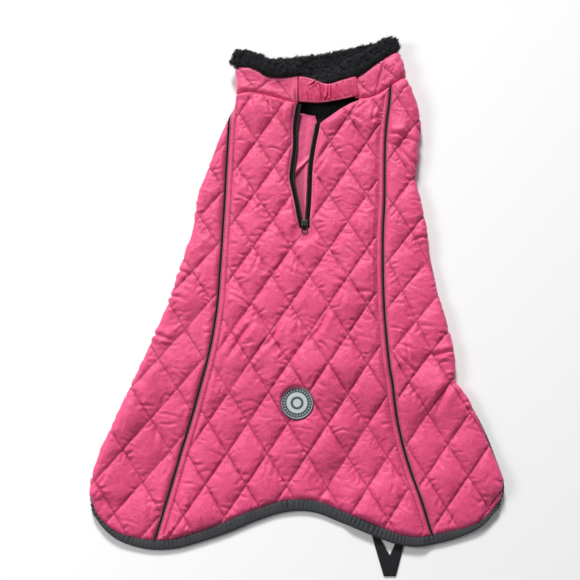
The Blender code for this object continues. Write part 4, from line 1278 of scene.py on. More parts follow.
def quilted(name, node, loop, lattice, seed, margins=False, puff=1.0, flatter=0.4):
    """A padded panel: sewn along its stitch lines, filled out between them, puckered along its edges."""
    flat, faces = panel_grid(loop, lattice)
    gap, place = nearest(flat, loop)
    upright = in_margin(flat, loop, place) if margins else np.zeros(len(flat), bool)
    within = np.where(upright, gap - MARGIN, gap)
    left, right = to_lattice(flat, lattice)
    from_lines = away_from_lines(left, right, lattice)
    turned = past_fold(flat)
    loose = 1 - smooth_step((turned - UNDER_TURN) / UNDER_FADE)
    ease = puff * (1 - flatter * smooth_step((turned - 0.6) / 0.8))
    tension = (0.85 + 0.4 * waves(*flat.T, 38.0, seed + 9)).clip(0.3, 1.2)
    gathers = edge_puckers(place, seed)
    foot = np.hypot(flat[:, 0] - ZIP_FOOT[0], flat[:, 1] - ZIP_FOOT[1] + ZIP_FLAT / 2)
    under_slider = smooth_step(foot / ZIP_FLAT - 1)
    seat = smooth_step((BADGE_RADIUS + 2 - away_from_badge(flat)) / 4)

    height = PUFF_START * pillows(flat, left, right, seed) * ease * smooth_step(within / PUFF_FADE)
    creases = small_creases(flat, lattice, seed) + crumpled(flat, seed) + furrows(flat, CREASES)
    height += creases * smooth_step(within / 4)
    height += PUCKER_HEIGHT * gathers * bell(np.where(upright, gap - MARGIN, gap - 2.6), PUCKER_REACH)
    height -= GROOVE * tension * bell(from_lines, 0.9) * smooth_step(within / 1.5)
    height = (height * under_slider + undulation(flat, seed) * smooth_step(within / 12)) * loose
    ridge = (0.8 + 0.45 * gathers) * np.clip(1 - (2 * gap / MARGIN - 1) ** 2, 0, 1)
    height += np.where(upright, ridge, 0) * loose
    height = height * (1 - seat) + BADGE_SEAT * seat
    height, band_shadow = beside_band(flat, height) if node == "collar_right" else (height, 0 * gap)
    height = np.maximum(height - EDGE_DROP * np.exp(-gap / 0.9), -EDGE_DROP)

    points = lay(*flat.T, WALL + height)
    outwards = points - lay(*flat.T, WALL + height - 1.0)
    outwards /= np.maximum(np.linalg.norm(outwards, axis=1), 1e-6)[:, None]
    sewn = (from_lines < LINE_REACH) | (within < 1.2) | (turned > UNDER_TURN + UNDER_FADE)
    sewn |= (seat > 0.02) | (under_slider < 0.5)
    points = settle(points, faces, sewn, outwards, ease)
    remember_surface(node, flat, ((points - lay(*flat.T, WALL)) * outwards).sum(axis=1))

    made = quilted_mesh(name, loop, lattice, flat, faces, points)
    # painted shade: darker in the stitch grooves, along the seam beside the piping and in its pucker valleys,
    # and in the band end's shadow
    line_shade = tension * bell(from_lines, 0.8) * smooth_step(within / 1.5)
    seam_shade = bell(gap - MARGIN, 0.8) + 0.7 * np.clip(-gathers, 0, 1) * bell(gap - MARGIN / 2, 2.0)
    seam_shade = np.where(upright, np.minimum(seam_shade, 1), 0)
    dark = np.maximum(np.maximum(line_shade, seam_shade) * (seat < 0.5), band_shadow)
    shade(made, np.pad(SHADE * dark, (0, len(made.data.vertices) - len(flat))))
    return declare(made, node, loop)


def left_belly_edge(along):
    """Where the left side panel ends at the belly panel, in the flat cut."""
    return under_across(LEFT_BELLY(along) - GAP / 2, along, "left")


def right_belly_edge(along):
    """Where the right side panel ends at the belly panel, in the flat cut."""
    return under_across(RIGHT_BELLY(along) + GAP / 2, along, "right")


# The panels end this far in under the binding.
TAPE_UNDER = 3.0
HEM_EDGE = hem_line()
PANEL_HEM = moved_in(HEM_EDGE, (binding_width(HEM_EDGE) + HEM_GAP - TAPE_UNDER)[:, None])
PANEL_HEM[0, 0] = left_belly_edge(PANEL_HEM[0, 1])
PANEL_HEM[-1, 0] = right_belly_edge(PANEL_HEM[-1, 1])

# How far the panels stay clear of the middle of the piping.
PIPING_SIDE = PIPING / 2 - 0.55


def back_left(along):
    """The back's left edge."""
    return LEFT_PIPING(along) + PIPING_SIDE


def back_right(along):
    """The back's right edge."""
    return RIGHT_PIPING(along) - PIPING_SIDE


def side_left_inner(along):
    """The left side panel's edge at the piping."""
    return LEFT_PIPING(along) - PIPING_SIDE


def side_right_inner(along):
    """The right side panel's edge at the piping."""
    return RIGHT_PIPING(along) + PIPING_SIDE


def back_loop():
    """The outline of the centre back, slit for the zip."""
    hem = kept(kept(PANEL_HEM, lambda x, y: x - back_left(y)), lambda x, y: back_right(y) - x)
    top_left = meeting(back_left, SEAM_LEFT, SEAM_START_LEFT)
    top_right = meeting(back_right, SEAM_RIGHT, SEAM_START_RIGHT)
    return joined(
        hem,
        column(back_right, hem[-1][1], top_right - WIDE_GAP / 2),
        row(lambda x: SEAM_RIGHT(x) - WIDE_GAP / 2, back_right(top_right), OPENING_EDGE[0][0]),
        spread(OPENING_EDGE, EDGE_STEP),
        column(RIGHT_ZIP, TAPE_TOP_RIGHT, SLIT_FOOT),
        [ZIP_FOOT],
        column(LEFT_ZIP, SLIT_FOOT, SEAM_LEFT(COLLAR_END_LEFT) - GAP),
        row(lambda x: SEAM_LEFT(x) - WIDE_GAP / 2, COLLAR_END_LEFT, back_left(top_left)),
        column(back_left, top_left - WIDE_GAP / 2, hem[0][1]),
    )


def side_left_loop():
    """The outline of the left side panel, as far round as the belly panel."""
    hem = kept(PANEL_HEM, lambda x, y: side_left_inner(y) - x)
    top = meeting(side_left_inner, SEAM_LEFT, SEAM_START_LEFT)
    high = NECK_UNDER_LEFT - WIDE_GAP / 2
    return joined(
        hem,
        column(side_left_inner, hem[-1][1], top - WIDE_GAP / 2),
        row(lambda x: SEAM_LEFT(x) - WIDE_GAP / 2, side_left_inner(top), left_belly_edge(high)),
        column(left_belly_edge, high, hem[0][1]),
    )


def side_right_loop():
    """The outline of the right side panel, as far round as the belly panel."""
    hem = kept(PANEL_HEM, lambda x, y: x - side_right_inner(y))
    top = meeting(side_right_inner, SEAM_RIGHT, SEAM_START_RIGHT)
    high = NECK_UNDER_RIGHT - WIDE_GAP / 2
    return joined(
        hem,
        column(right_belly_edge, hem[-1][1], high),
        row(lambda x: SEAM_RIGHT(x) - WIDE_GAP / 2, right_belly_edge(high), side_right_inner(top)),
        column(side_right_inner, top - WIDE_GAP / 2, hem[0][1]),
    )


def collar_left_loop():
    """The outline of the collar's left front."""
    low = NECK_UNDER_LEFT + WIDE_GAP / 2
    top = meeting(left_belly_edge, TOP_LEFT, COLLAR_START_LEFT)
    return joined(
        row(lambda x: SEAM_LEFT(x) + WIDE_GAP / 2, left_belly_edge(low), COLLAR_END_LEFT),
        row(TOP_LEFT, COLLAR_END_LEFT, left_belly_edge(top)),
        column(left_belly_edge, top, low),
    )


# The collar's right front reaches this far in under the end of the band.
TAB_OVER = 4.0


def collar_right_loop():
    """The outline of the collar's right front."""
    low = NECK_UNDER_RIGHT + WIDE_GAP / 2
    top = meeting(right_belly_edge, TOP_RIGHT, COLLAR_START_RIGHT)
    start = COLLAR_END_RIGHT - TAB_OVER
    return joined(
        row(lambda x: SEAM_RIGHT(x) + WIDE_GAP / 2, start, right_belly_edge(low)),
        column(right_belly_edge, low, top),
        row(TOP_RIGHT, right_belly_edge(top), start),
    )


# ------------------------------------------------------------------ flat cloth, strips and stitches

# The least width and length that a sheet's flat size is worked out to, in metres.
LEAST_SIZE = 0.0101


def dressed(made, node=None):
    """Hides the model's part that a piece of the coat stands for, if any, and hangs the piece on the coat."""
    if node:
        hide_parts(node)
    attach(made, "coat")
    return made


def declare(made, node, loop, tape=None):
    """Dresses a sheet and works out the flat size of its cut, from an outline or a tape's length and width;
    nothing uses that size.
    """
    dressed(made, node)
    loop = np.asarray(loop, float)
    wide, long = np.ptp(loop, axis=0) * MM
    if tape:
        long, wide = tape[0] * MM, tape[1] * MM
    wide, long = float(max(wide, LEAST_SIZE)), float(max(long, LEAST_SIZE))
    return made


def plain_sheet(name, node, loop, low, high, finish, step=2.0, swell=None):
    """A thin closed sheet over an outline; swell(points, distance to the outline) shapes its upper face."""
    loop = spread(np.vstack([loop, loop[:1]]), step)[:-1]
    least, most = loop.min(axis=0), loop.max(axis=0)
    across, along = np.meshgrid(np.arange(least[0], most[0], step), np.arange(least[1], most[1], step))
    inside = np.stack([across.ravel(), along.ravel()], axis=1)
    inside = inside[inside_loop(inside, loop)]
    inside = inside[nearest(inside, loop)[0] > step * 0.6]
    flat, faces = triangulated(loop, inside)
    gap, _ = nearest(flat, loop)
    over = np.column_stack([flat, high - 0.35 * np.exp(-gap / 0.5) + (swell(flat, gap) if swell else 0)])
    under = np.column_stack([flat, np.full(len(flat), low)])
    count = len(flat)
    walls = [(b, a, a + count, b + count) for a, b in boundary(faces)]
    below = (faces[:, ::-1] + count).tolist()
    made = add_mesh(name, np.vstack([over, under]), faces.tolist() + below + walls, finish)
    return declare(made, node, loop)


def rings_along(line, ring):
    """The flat cut's points of a section, or of one section for each point, drawn along a line."""
    ahead = np.gradient(line, axis=0)
    ahead /= np.linalg.norm(ahead, axis=1)[:, None]
    beside = np.stack([-ahead[:, 1], ahead[:, 0]], axis=1)
    ring = np.asarray(ring, float)
    if ring.ndim == 2:
        ring = np.broadcast_to(ring, (len(line), *ring.shape))
    flat = line[:, None] + beside[:, None] * ring[..., :1]
    return np.concatenate([flat, ring[..., 1:]], axis=-1)


def laid(flat):
    """Points with their heights in the flat cut, put where they lie."""
    return lay(flat[..., 0], flat[..., 1], flat[..., 2])


def tube_faces(count, sides, first=0, capped=True):
    """Faces of a tube through rings of points, counted from the first one's number."""
    faces = []
    for ring in range(first, first + (count - 1) * sides, sides):
        for j in range(sides):
            a, b = ring + j, ring + (j + 1) % sides
            faces.append((a, b, b + sides, a + sides))
    if capped:
        last = first + (count - 1) * sides
        faces += [tuple(range(first, first + sides))[::-1], tuple(range(last, last + sides))]
    return faces


def loft(name, rings, finish):
    """A solid through rings of points, closed at both ends."""
    return outward(add_mesh(name, rings.reshape(-1, 3), tube_faces(*rings.shape[:2]), finish))


def outward(made):
    """Turns a closed mesh's faces outwards."""
    mesh = bmesh.new()
    mesh.from_mesh(made.data)
    bmesh.ops.recalc_face_normals(mesh, faces=mesh.faces)
    mesh.to_mesh(made.data)
    mesh.free()
    return made


STITCHES = {"pink": [], "pale": [], "grey": []}
STITCH_LIFT = 0.1


def stitch(line, thread, pitch, length, on=None, height=WALL + STITCH_LIFT):
    """Sews along a line of the flat cut, on a panel's face or at a height, and keeps each stitch's ends."""
    line = np.asarray(line, float)
    size = travelled(line)
    if size[-1] < pitch:
        return
    start = np.arange(0, size[-1] - length, pitch)
    ends = []
    for at in (start, start + length):
        flat = read_at(line, size, at)
        level = WALL + STITCH_LIFT + surface_height(on, flat) if on else height
        ends.append(lay(*flat.T, level))
    STITCHES[thread].append(np.stack(ends, axis=1))


def length_of(line):
    """A polyline's length."""
    return float(travelled(line)[-1])


def make_stitches(thread, finish, width=0.5, thickness=0.3):
    """One mesh for all the stitches of a thread: each a small spindle with four sides."""
    ends = np.concatenate(STITCHES[thread])
    start, end = ends[:, 0], ends[:, 1]
    length = np.linalg.norm(end - start, axis=1)
    keep = (length > 0.8) & (length < 5)
    start, end, length = start[keep], end[keep], length[keep]
    ahead = (end - start) / length[:, None]
    beside = np.cross(ahead, (0.0, 0.0, 1.0))
    beside /= np.maximum(np.linalg.norm(beside, axis=1), 1e-6)[:, None]
    up = np.cross(beside, ahead)
    points = [start]
    for part in (0.22, 0.78):
        middle = start + (end - start) * part
        for x, z in ((1, 0), (0, 1), (-1, 0), (0, -1)):
            points.append(middle + beside * (x * width / 2) + up * (z * thickness + 0.08))
    points = np.stack(points + [end], axis=1)
    sides = [(j, (j + 1) % 4) for j in range(4)]
    tips = [face for j, k in sides for face in ((0, 1 + k, 1 + j), (9, 5 + j, 5 + k))]
    spindle = tips + [(1 + j, 1 + k, 5 + k, 5 + j) for j, k in sides]
    faces = [tuple(v + first for v in face) for first in range(0, 10 * len(start), 10) for face in spindle]
    made = add_mesh(f"stitches_{thread}", points.reshape(-1, 3), faces, finish)
    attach(made, "coat")


def beside_piping(points):
    """How far points of the back lie from its piping."""
    return np.minimum(points[:, 0] - back_left(points[:, 1]), back_right(points[:, 1]) - points[:, 0])


def sew_quilting(node, loop, lattice, margins=False):
    """Stitches along the quilting's lines, as far as a panel's edges or the margins beside the piping."""
    low, high = loop.min(axis=0), loop.max(axis=0)
    corners = np.array([(x, y) for x in (low[0], high[0]) for y in (low[1], high[1])])
    places = np.array(to_lattice(corners, lattice))
    fine = np.arange(math.floor(places.min()) - 1, math.ceil(places.max()) + 1, 0.03)
    for fixed in range(math.floor(fine[0]), math.ceil(fine[-1])):
        held = np.full(len(fine), float(fixed))
        for pair in ((held, fine), (fine, held)):
            line = from_lattice(*pair, lattice)
            line = line[((line > low) & (line < high)).all(axis=1)]
            if len(line) < 3:
                continue
            good = inside_loop(line, loop) & (nearest(line, loop)[0] > 1.6) & (past_fold(line) < 2.6)
            if margins:
                good &= beside_piping(line) > MARGIN + 0.8
            good &= away_from_badge(line) > BADGE_RADIUS + 1.5
            cuts = np.flatnonzero(np.diff(good.astype(int))) + 1
            for run in np.split(np.arange(len(line)), cuts):
                if len(run) > 4 and good[run[0]]:
                    stitch(line[run], "pink", 2.9, 2.2, node)


# ------------------------------------------------------------------ the coat


def make_panels():
    """The quilted panels on top, and the collar's two ends."""
    for seed, (node, loop, lattice, puff) in enumerate((
        ("back_panel", back_loop(), "back", 1.0),
        ("side_left", side_left_loop(), "left", 0.8),
        ("side_right", side_right_loop(), "right", 0.8),
    ), 11):
        margins = node == "back_panel"
        quilted(f"{node}_cloth", node, loop, lattice, seed, margins, puff)
        sew_quilting(node, loop, lattice, margins)
    for seed, (node, loop, lattice) in enumerate((
        ("collar_left", collar_left_loop(), "collar"),
        ("collar_right", collar_right_loop(), "collar_right"),
    ), 21):
        quilted(f"{node}_cloth", node, loop, lattice, seed, puff=0.5, flatter=0.8)
        sew_quilting(node, loop, lattice)


def sew_seams():
    """The stitches beside the back's seams and openings, and on the collar."""
    top = back_loop()[:, 1].max()
    for edge, away in ((back_left, MARGIN), (back_right, -MARGIN)):
        line = column(lambda y: edge(y) + away, top - 18, -30.0)
        stitch(kept(line, lambda x, y: y - LOW_HEM(x) - BINDING + 1.0), "pink", 2.6, 1.7, "back_panel")
    for edge, away, high in ((LEFT_ZIP, -1.1, 429.0), (RIGHT_ZIP, 1.1, TAPE_TOP_RIGHT)):
        stitch(column(lambda y: edge(y) + away, high, SLIT_FOOT + 4), "pale", 2.7, 1.9, "back_panel")
    stitch(moved_in(spread(OPENING_EDGE, 2.0), 1.3), "pale", 2.7, 1.9, "back_panel")
    stitch(row(lambda x: TOP_LEFT(x) - 4.0, -72.0, COLLAR_END_LEFT - 1), "pale", 2.7, 1.9, "collar_left")
    stitch(row(lambda x: TOP_RIGHT(x) - 4.0, COLLAR_END_RIGHT + 1, 126.0), "pale", 2.7, 1.9, "collar_right")
    for away, node in ((2.0, "collar_left"), (-2.0, "back_panel")):
        stitch(row(lambda x: SEAM_LEFT(x) + away, -72.0, COLLAR_END_LEFT - 2), "pink", 2.6, 1.8, node)
    for across in (2.6, 7.6):
        stitch(column(lambda y: 0 * y + across, 435.0, 463.0), "pale", 2.7, 1.8, "collar_left")
    for across in (102.0, 105.2):
        line = column(lambda y: across + (y - 455) * 0.05, 454.0, 478.0)
        stitch(line, "pink", 2.4, 1.6, "collar_right")




def make_underside():
    """What lies underneath: the belly panel, the collar's stretch over it, and the binding below it."""
    low = HEM_TOP + BINDING + HEM_GAP
    left_top, right_top = NECK_UNDER_LEFT - WIDE_GAP / 2, NECK_UNDER_RIGHT - WIDE_GAP / 2
    loop = joined(
        row(lambda x: low + 0 * x, LEFT_BELLY(low) + GAP / 2, RIGHT_BELLY(low) - GAP / 2, 12),
        column(lambda y: RIGHT_BELLY(y) - GAP / 2, low, right_top, 9.0),
        column(lambda y: LEFT_BELLY(y) + GAP / 2, left_top, low, 9.0),
    )
    plain_sheet(
        "belly_panel_cloth", "belly_panel", loop, 0.0, WALL, PINK, 4.0,
        lambda flat, gap: 0.25 * waves(*flat.T, 12.0, 5),
    )
    left_top = meeting(left_belly_edge, TOP_LEFT, COLLAR_START_LEFT)
    right_top = meeting(right_belly_edge, TOP_RIGHT, COLLAR_START_RIGHT)
    loop = joined(
        column(lambda y: LEFT_BELLY(y) + GAP / 2, left_top, NECK_UNDER_LEFT + WIDE_GAP / 2, 9.0),
        column(lambda y: RIGHT_BELLY(y) - GAP / 2, NECK_UNDER_RIGHT + WIDE_GAP / 2, right_top, 9.0),
    )
    plain_sheet("collar_under_cloth", "collar_under", loop, 0.0, WALL, PINK, 4.0)

    def tucks(flat, gap):
        return 0.25 * np.sin(flat[:, 0] * 2 * math.pi / BINDING_PUCKER + waves(flat[:, 0], 0, 9, 3))

    low, high = HEM_TOP, HEM_TOP + BINDING
    loop = [
        (LEFT_BELLY(low) + GAP, low),
        (RIGHT_BELLY(low) - GAP, low),
        (RIGHT_BELLY(high) - GAP, high),
        (LEFT_BELLY(high) + GAP, high),
    ]
    top = WALL + BINDING_PROUD
    plain_sheet("belly_binding_tape", "belly_binding", loop, 0.0, top, GREY_TAPE, 1.5, tucks)


# The binding over the hem: how many points its section has on top, the length of its puckers, the share of
# its width that shows, and how far it reaches out past the edge.
BINDING_SIDES = 9
BINDING_PUCKER = 4.2
TAPE_SHOWN = 0.93
TAPE_OUT = 1.0


def make_binding():
    """The tape folded round the hem: rounded on its outer edge, puckered by the seam along its inner one."""
    edge = spread(HEM_EDGE, 0.75)
    size = travelled(edge)
    low, high = -BINDING_PROUD, WALL + BINDING_PROUD
    away = np.concatenate([[0.0, 0.25, 1.2], np.linspace(2.6, BINDING, BINDING_SIDES - 3)])
    base = np.concatenate([[(low + high) / 2, high - 0.9, high - 0.1], np.full(BINDING_SIDES - 3, high)])
    still = 0 * size
    pucker = np.sin(2 * math.pi * size / BINDING_PUCKER + 2.8 * waves(size, still, 13, 2))
    pucker *= 0.7 + 0.4 * waves(size, still, 9, 4)
    swell = np.sin(np.clip((away - 0.5) / (BINDING - 0.5), 0, 1) * math.pi) * 0.2
    narrowed = (binding_width(edge) / BINDING * TAPE_SHOWN)[:, None]
    waver = (0.5 * waves(size, still, 17, 8) + 0.55 * pucker)[:, None] * (away > 8)
    under = away[:0:-1]
    rings = np.zeros((len(edge), 2 * BINDING_SIDES - 1, 2))
    rings[:, :BINDING_SIDES, 0] = (away + waver) * narrowed - TAPE_OUT
    rings[:, :BINDING_SIDES, 1] = base + swell - 0.3 * bell(away - (BINDING - 1.6), 0.9)
    rings[:, :BINDING_SIDES, 1] += 0.70 * pucker[:, None] * bell(away - 5.2, 3.4)
    rings[:, BINDING_SIDES:, 0] = under * narrowed - TAPE_OUT
    rings[:, BINDING_SIDES:, 1] = np.where(under < 0.5, low + 0.9, low)
    rings = rings[:, ::-1]
    flat = rings_along(edge, rings)
    for end, side in ((0, left_belly_edge), (-1, right_belly_edge)):
        flat[end, :, 0] = side(flat[end, :, 1])
    made = loft("hem_binding_tape", laid(flat), GREY_TAPE)
    # painted shade in the valleys of the binding's puckers
    shade(made, np.clip(-pucker, 0, 1)[:, None] ** 2 * np.clip((rings[..., 0] - 0.5) / 3, 0, 1) * 0.75)
    declare(made, "hem_binding", HEM_EDGE, tape=(length_of(HEM_EDGE), BINDING))
    line = moved_in(HEM_EDGE, (binding_width(HEM_EDGE) - TAPE_UNDER - 0.3)[:, None])
    stitch(line, "grey", 2.9, 1.8, height=WALL + BINDING_PROUD - 0.25)


# The piping's cord: half its width. Its pale edge, a painted highlight, as (away from the seam, height).
CORD = 1.12
CORD_EDGE = (
    (0.82, WALL - 0.9),
    (0.9, WALL - 0.05),
    (1.12, WALL + 0.30),
    (1.42, WALL + 0.22),
    (1.6, WALL - 0.9),
)


def make_piping():
    """The two lines of piping: a ribbed cord, a pale edge beside it as a painted highlight, and a row of
    stitches.
    """
    turns = np.linspace(0, math.pi, 9)
    section = np.stack([np.cos(turns) * CORD - 0.2, WALL - 0.7 + np.sin(turns) * 1.5], axis=1)
    section = np.vstack([section, [(-CORD - 0.2, PIPING_LOW), (CORD - 0.2, PIPING_LOW)]])
    for side, piping, seam, start in (
        ("left", LEFT_PIPING, SEAM_LEFT, SEAM_START_LEFT),
        ("right", RIGHT_PIPING, SEAM_RIGHT, SEAM_START_RIGHT),
    ):
        line = column(piping, meeting(piping, seam, start) - PIPING_TOP_CLEAR, COAT_FOOT, 1.0)
        line = kept(line, lambda x, y: y - LOW_HEM(x) - BINDING + 2.4)
        stitch(line - (1.25, 0), "grey", 1.8, 0.95, height=WALL + 0.35)
        rings = np.repeat(section[None], len(line), axis=0)
        rings[:, 1:8, 1] += (0.10 * np.sin(np.arange(len(line)) * 2 * math.pi / 2.2))[:, None]
        made = loft(f"piping_{side}_cord", laid(rings_along(line, rings)), PIPING_CORD)
        dressed(made, f"piping_{side}")
        dressed(loft(f"piping_{side}_edge", laid(rings_along(line, CORD_EDGE)), PIPING_HIGHLIGHT))


# The band: the steps along it, its rows of points, how far its right end leans, how far its upper edge stands
# up, and how far from its right end it is sewn down.
TAB_STEP = 0.6
TAB_ROWS = 34
TAB_LEAN = 2.6
TAB_TILT = 1.6
TAB_SEAMS = (6.6, 9.0)

# The gathers of the band, each from one end to the other.
TAB_CREASES = (
    # across, along, across, along, half width, depth
    (36.2, 434.0, 32.2, 457.5, 1.5, 1.9),
    (39.6, 434.0, 42.0, 454.8, 1.3, 1.6),
    (48.8, 434.5, 46.2, 453.0, 1.5, 1.7),
    (49.5, 435.5, 42.5, 441.0, 1.1, 1.0),
    (31.0, 460.0, 21.0, 451.0, 1.4, 1.4),
    (36.0, 437.0, 28.5, 450.5, 1.2, 1.0),
    (21.0, 434.0, 18.0, 446.0, 1.4, 0.8),
    (60.0, 439.0, 53.0, 457.0, 2.2, 0.6),
)


def make_tab():
    """The gathered band: its creases fan up from the lower edge, and its right end is stitched down twice."""
    low, high = columns(TAB)
    across = np.arange(TAB[0][0], TAB[-1][0], TAB_STEP)
    low_edge, high_edge = low(across), high(across)
    part = np.linspace(0, 1, TAB_ROWS)
    along = low_edge[:, None] * (1 - part) + high_edge[:, None] * part
    wide = np.broadcast_to(across[:, None], along.shape)
    height = (high_edge - low_edge)[:, None]
    ends = np.minimum(across - TAB[0][0], TAB[-1][0] - across)[:, None]
    creases = 1.5 * furrows(np.stack([wide.ravel(), along.ravel()], axis=1), TAB_CREASES).reshape(along.shape)
    wrinkle = 0.22 * waves(wide, along, 5.0, 31) + 0.12 * waves(wide, along, 2.4, 33)
    pucker = np.sin(across * 2 * math.pi / 3.1 + 1.6 * waves(across, 0 * across, 8, 7))[:, None]
    from_right = TAB[-1][0] - across[:, None]
    swell = 0.9 * np.sin(part * math.pi)[None] ** 0.6 + creases * smooth_step(ends / 3) + wrinkle
    swell = swell - 0.7 * bell(from_right - TAB_SEAMS[0], 0.7) - 0.6 * bell(from_right - TAB_SEAMS[1], 0.7)
    swell += pucker * (0.42 * bell(part * height - 2.6, 2.2) + 0.22 * bell((1 - part) * height - 2.0, 1.6))
    swell += 1.7 * smooth_step((wide - 62) / 9) + TAB_TILT * (part - 0.4)
    from_edge = np.minimum(part, 1 - part) * height
    swell = np.maximum(swell - 0.6 * np.exp(-from_edge / 0.6) - 0.6 * np.exp(-ends / 0.6), -1.2)
    leant = wide - TAB_LEAN * (part - 0.15) * smooth_step((wide - 40) / 30)
    under = lay(leant, along, 0.5 + 2.0 * smooth_step((wide - 30) / 20) * (part < 0.5))
    rings = np.concatenate([lay(leant, along, WALL + swell), under[:, ::-1]], axis=1)
    # the band wears the darker copy of the pink nylon, as painted shade
    made = loft("collar_tab_cloth", rings, PINK_SHADED)
    outline = np.vstack([np.stack([across, low_edge], axis=1), np.stack([across, high_edge], axis=1)[::-1]])
    declare(made, "collar_tab", outline)
    remember_surface("collar_tab", np.stack([leant.ravel(), along.ravel()], axis=1), swell.ravel())
    for away in TAB_SEAMS:
        at = TAB[-1][0] - away
        line = [(at, float(low(at)) + 1.5), (at - TAB_LEAN * 0.8, float(high(at)) - 1.5)]
        stitch(line, "pink", 2.4, 1.7, "collar_tab")
    for edge, away in ((low_edge, 0.9), (high_edge, -2.0)):
        stitch(np.stack([across, edge + away], axis=1)[3:-9], "pale", 2.8, 1.9, "collar_tab")


# The pile: its sections along the roll, the points of each, and the size of its clumps.
PILE_STEP = 0.9
PILE_ROUND = 40
CLUMP = 3.6

# Each curl is a little tube: its rings of points, the sides of each ring, its turns and its radius.
CURL_RINGS = 7
CURL_SIDES = 3
CURL_TURNS = 1.1
CURL_RADIUS = 0.40


def clumps(points, size, seed):
    """Soft round clumps over a surface."""
    x, y, z = points.T
    one = waves(x + 0.7 * z, y - 0.4 * z, size, seed)
    two = waves(x - 0.5 * z + 31, y + 0.8 * z + 17, size * 0.62, seed + 1)
    three = waves(y + z, x - z, size * 0.36, seed + 2)
    return 0.6 * one + 0.45 * two + 0.25 * three


def unit(vectors):
    """Vectors brought to a length of one."""
    return vectors / np.maximum(np.linalg.norm(vectors, axis=-1), 1e-6)[..., None]


def pile_roll(rows, seed):
    """A roll's rings of points, which way it faces at each point, and how far its clumps stand out."""
    low, high, bottom, top = columns(rows)
    across = np.arange(rows[0][0], rows[-1][0], PILE_STEP)
    turns = np.arange(PILE_ROUND) * 2 * math.pi / PILE_ROUND
    cosine, sine = np.cos(turns), np.sin(turns)
    ends = np.minimum(across - across[0], across[-1] - across)
    full = np.sqrt(np.clip(1 - (1 - np.clip(ends / 4.0, 0.02, 1)) ** 2, 0, 1))

    def squared(least, most, part):
        """From one side of the section to the other, fuller in the corners than a circle."""
        middle, half = (least(across) + most(across)) / 2, (most(across) - least(across)) / 2 * full
        return middle[:, None] + np.sign(part) * np.abs(part) ** PILE_POWER * half[:, None]

    y, z = squared(low, high, cosine), squared(bottom, top, sine)
    x = np.broadcast_to(across[:, None], y.shape)
    points = np.stack([x, y, z], axis=-1).reshape(-1, 3)
    facing = np.stack([0 * y, cosine + 0 * y, sine + 0 * y], axis=-1).reshape(-1, 3)
    amount = clumps(points, CLUMP, seed)
    points = points + facing * (amount * 1.6 - 1.1)[:, None]
    points[:, 2] = np.maximum(points[:, 2], bottom(points[:, 0]))
    return points.reshape(*y.shape, 3), facing, amount


def make_curls(name, points, facing, tufts, draw):
    """Short curled tufts that stand out of a roll's upper side, as one mesh."""
    able = np.flatnonzero(facing[:, 2] > -0.35)
    pick = draw.choice(able, size=tufts, replace=tufts > len(able))
    base = points[pick] + draw.normal(0, 0.35, (tufts, 3))
    away = unit(facing[pick] + draw.normal(0, 0.45, (tufts, 3)))
    side = unit(np.cross(away, draw.normal(0, 1, (tufts, 3))))
    other = np.cross(away, side)
    length = draw.uniform(1.6, 3.8, tufts) + 1.6 * (draw.random(tufts) < 0.12)
    curl = draw.uniform(0.7, 1.5, tufts)[:, None]
    steps = np.linspace(0, 1, CURL_RINGS)
    spin = steps * 2 * math.pi * CURL_TURNS
    path = base[:, None] + away[:, None] * (length[:, None] * steps)[..., None]
    path += side[:, None] * (curl * (np.cos(spin) - 1))[..., None]
    path += other[:, None] * (curl * np.sin(spin))[..., None]
    first = unit(np.cross(unit(np.gradient(path, axis=1)), away[:, None]))
    second = np.cross(unit(np.gradient(path, axis=1)), first)
    radius = (CURL_RADIUS * (1 - 0.5 * steps))[:, None]
    turns = np.arange(CURL_SIDES)[:, None] * 2 * math.pi / CURL_SIDES
    tube = path[:, :, None] + radius[:, None] * (
        np.cos(turns) * first[:, :, None] + np.sin(turns) * second[:, :, None]
    )
    tube[..., 2] = np.maximum(tube[..., 2], 0.3)
    faces = []
    for number in range(tufts):
        faces += tube_faces(CURL_RINGS, CURL_SIDES, number * CURL_RINGS * CURL_SIDES, capped=False)
    made = add_mesh(name, tube.reshape(-1, 3), faces, SHERPA_CURLS)
    # painted shade, darkest at the curls' roots deep in the pile
    root_shade = np.clip(0.9 - 1.5 * steps, 0, 1)[:, None] + 0.5 * draw.random((tufts, 1, 1)) ** 2
    shade(made, np.broadcast_to(np.clip(root_shade, 0, 0.95), tube.shape[:3]))
    dressed(made)


def make_pile(name, node, rows, tufts, seed):
    """A roll of sherpa: a clumped body with short curls of pile standing out of it."""
    rings, facing, amount = pile_roll(rows, seed)
    made = loft(name, rings, SHERPA)
    # painted shade in the hollows between the clumps
    shade(made, np.clip(0.25 - amount * 1.1, 0, 0.95))
    dressed(made, node)
    make_curls(f"{name}_curls", rings.reshape(-1, 3), facing, tufts, np.random.default_rng(seed))


def make_fleece():
    """The collar's sherpa lining: two rolls over its front edge, and one inside the neck."""
    make_pile("fleece_left_pile", "fleece_front_left", PILE_FRONT_LEFT, 2200, 41)
    make_pile("fleece_right_pile", "fleece_front_right", PILE_FRONT_RIGHT, 2200, 43)
    make_pile("fleece_back_pile", "fleece_back", PILE_BACK, 4200, 45)


def upper_flap(flat, gap):
    """How the upper guard swells: a ridge along it, and one where it is folded back over the lower guard."""
    x, y = flat.T
    ridge = 1.3 * bell(x - 12 - (y - 400) * 0.10, 4.0)
    fold = 1.6 * bell(y - 351 - 1.05 * (x - 6), 5.0)
    return (ridge + fold + 0.2 * waves(x, y, 6.0, 12)) * smooth_step(gap / 1.5)


def lower_flap(flat, gap):
    """The lower guard rises beside the zip's right tape."""
    return 0.8 * smooth_step((flat[:, 0] - 15.5) / 1.5) * smooth_step(gap / 1.0)


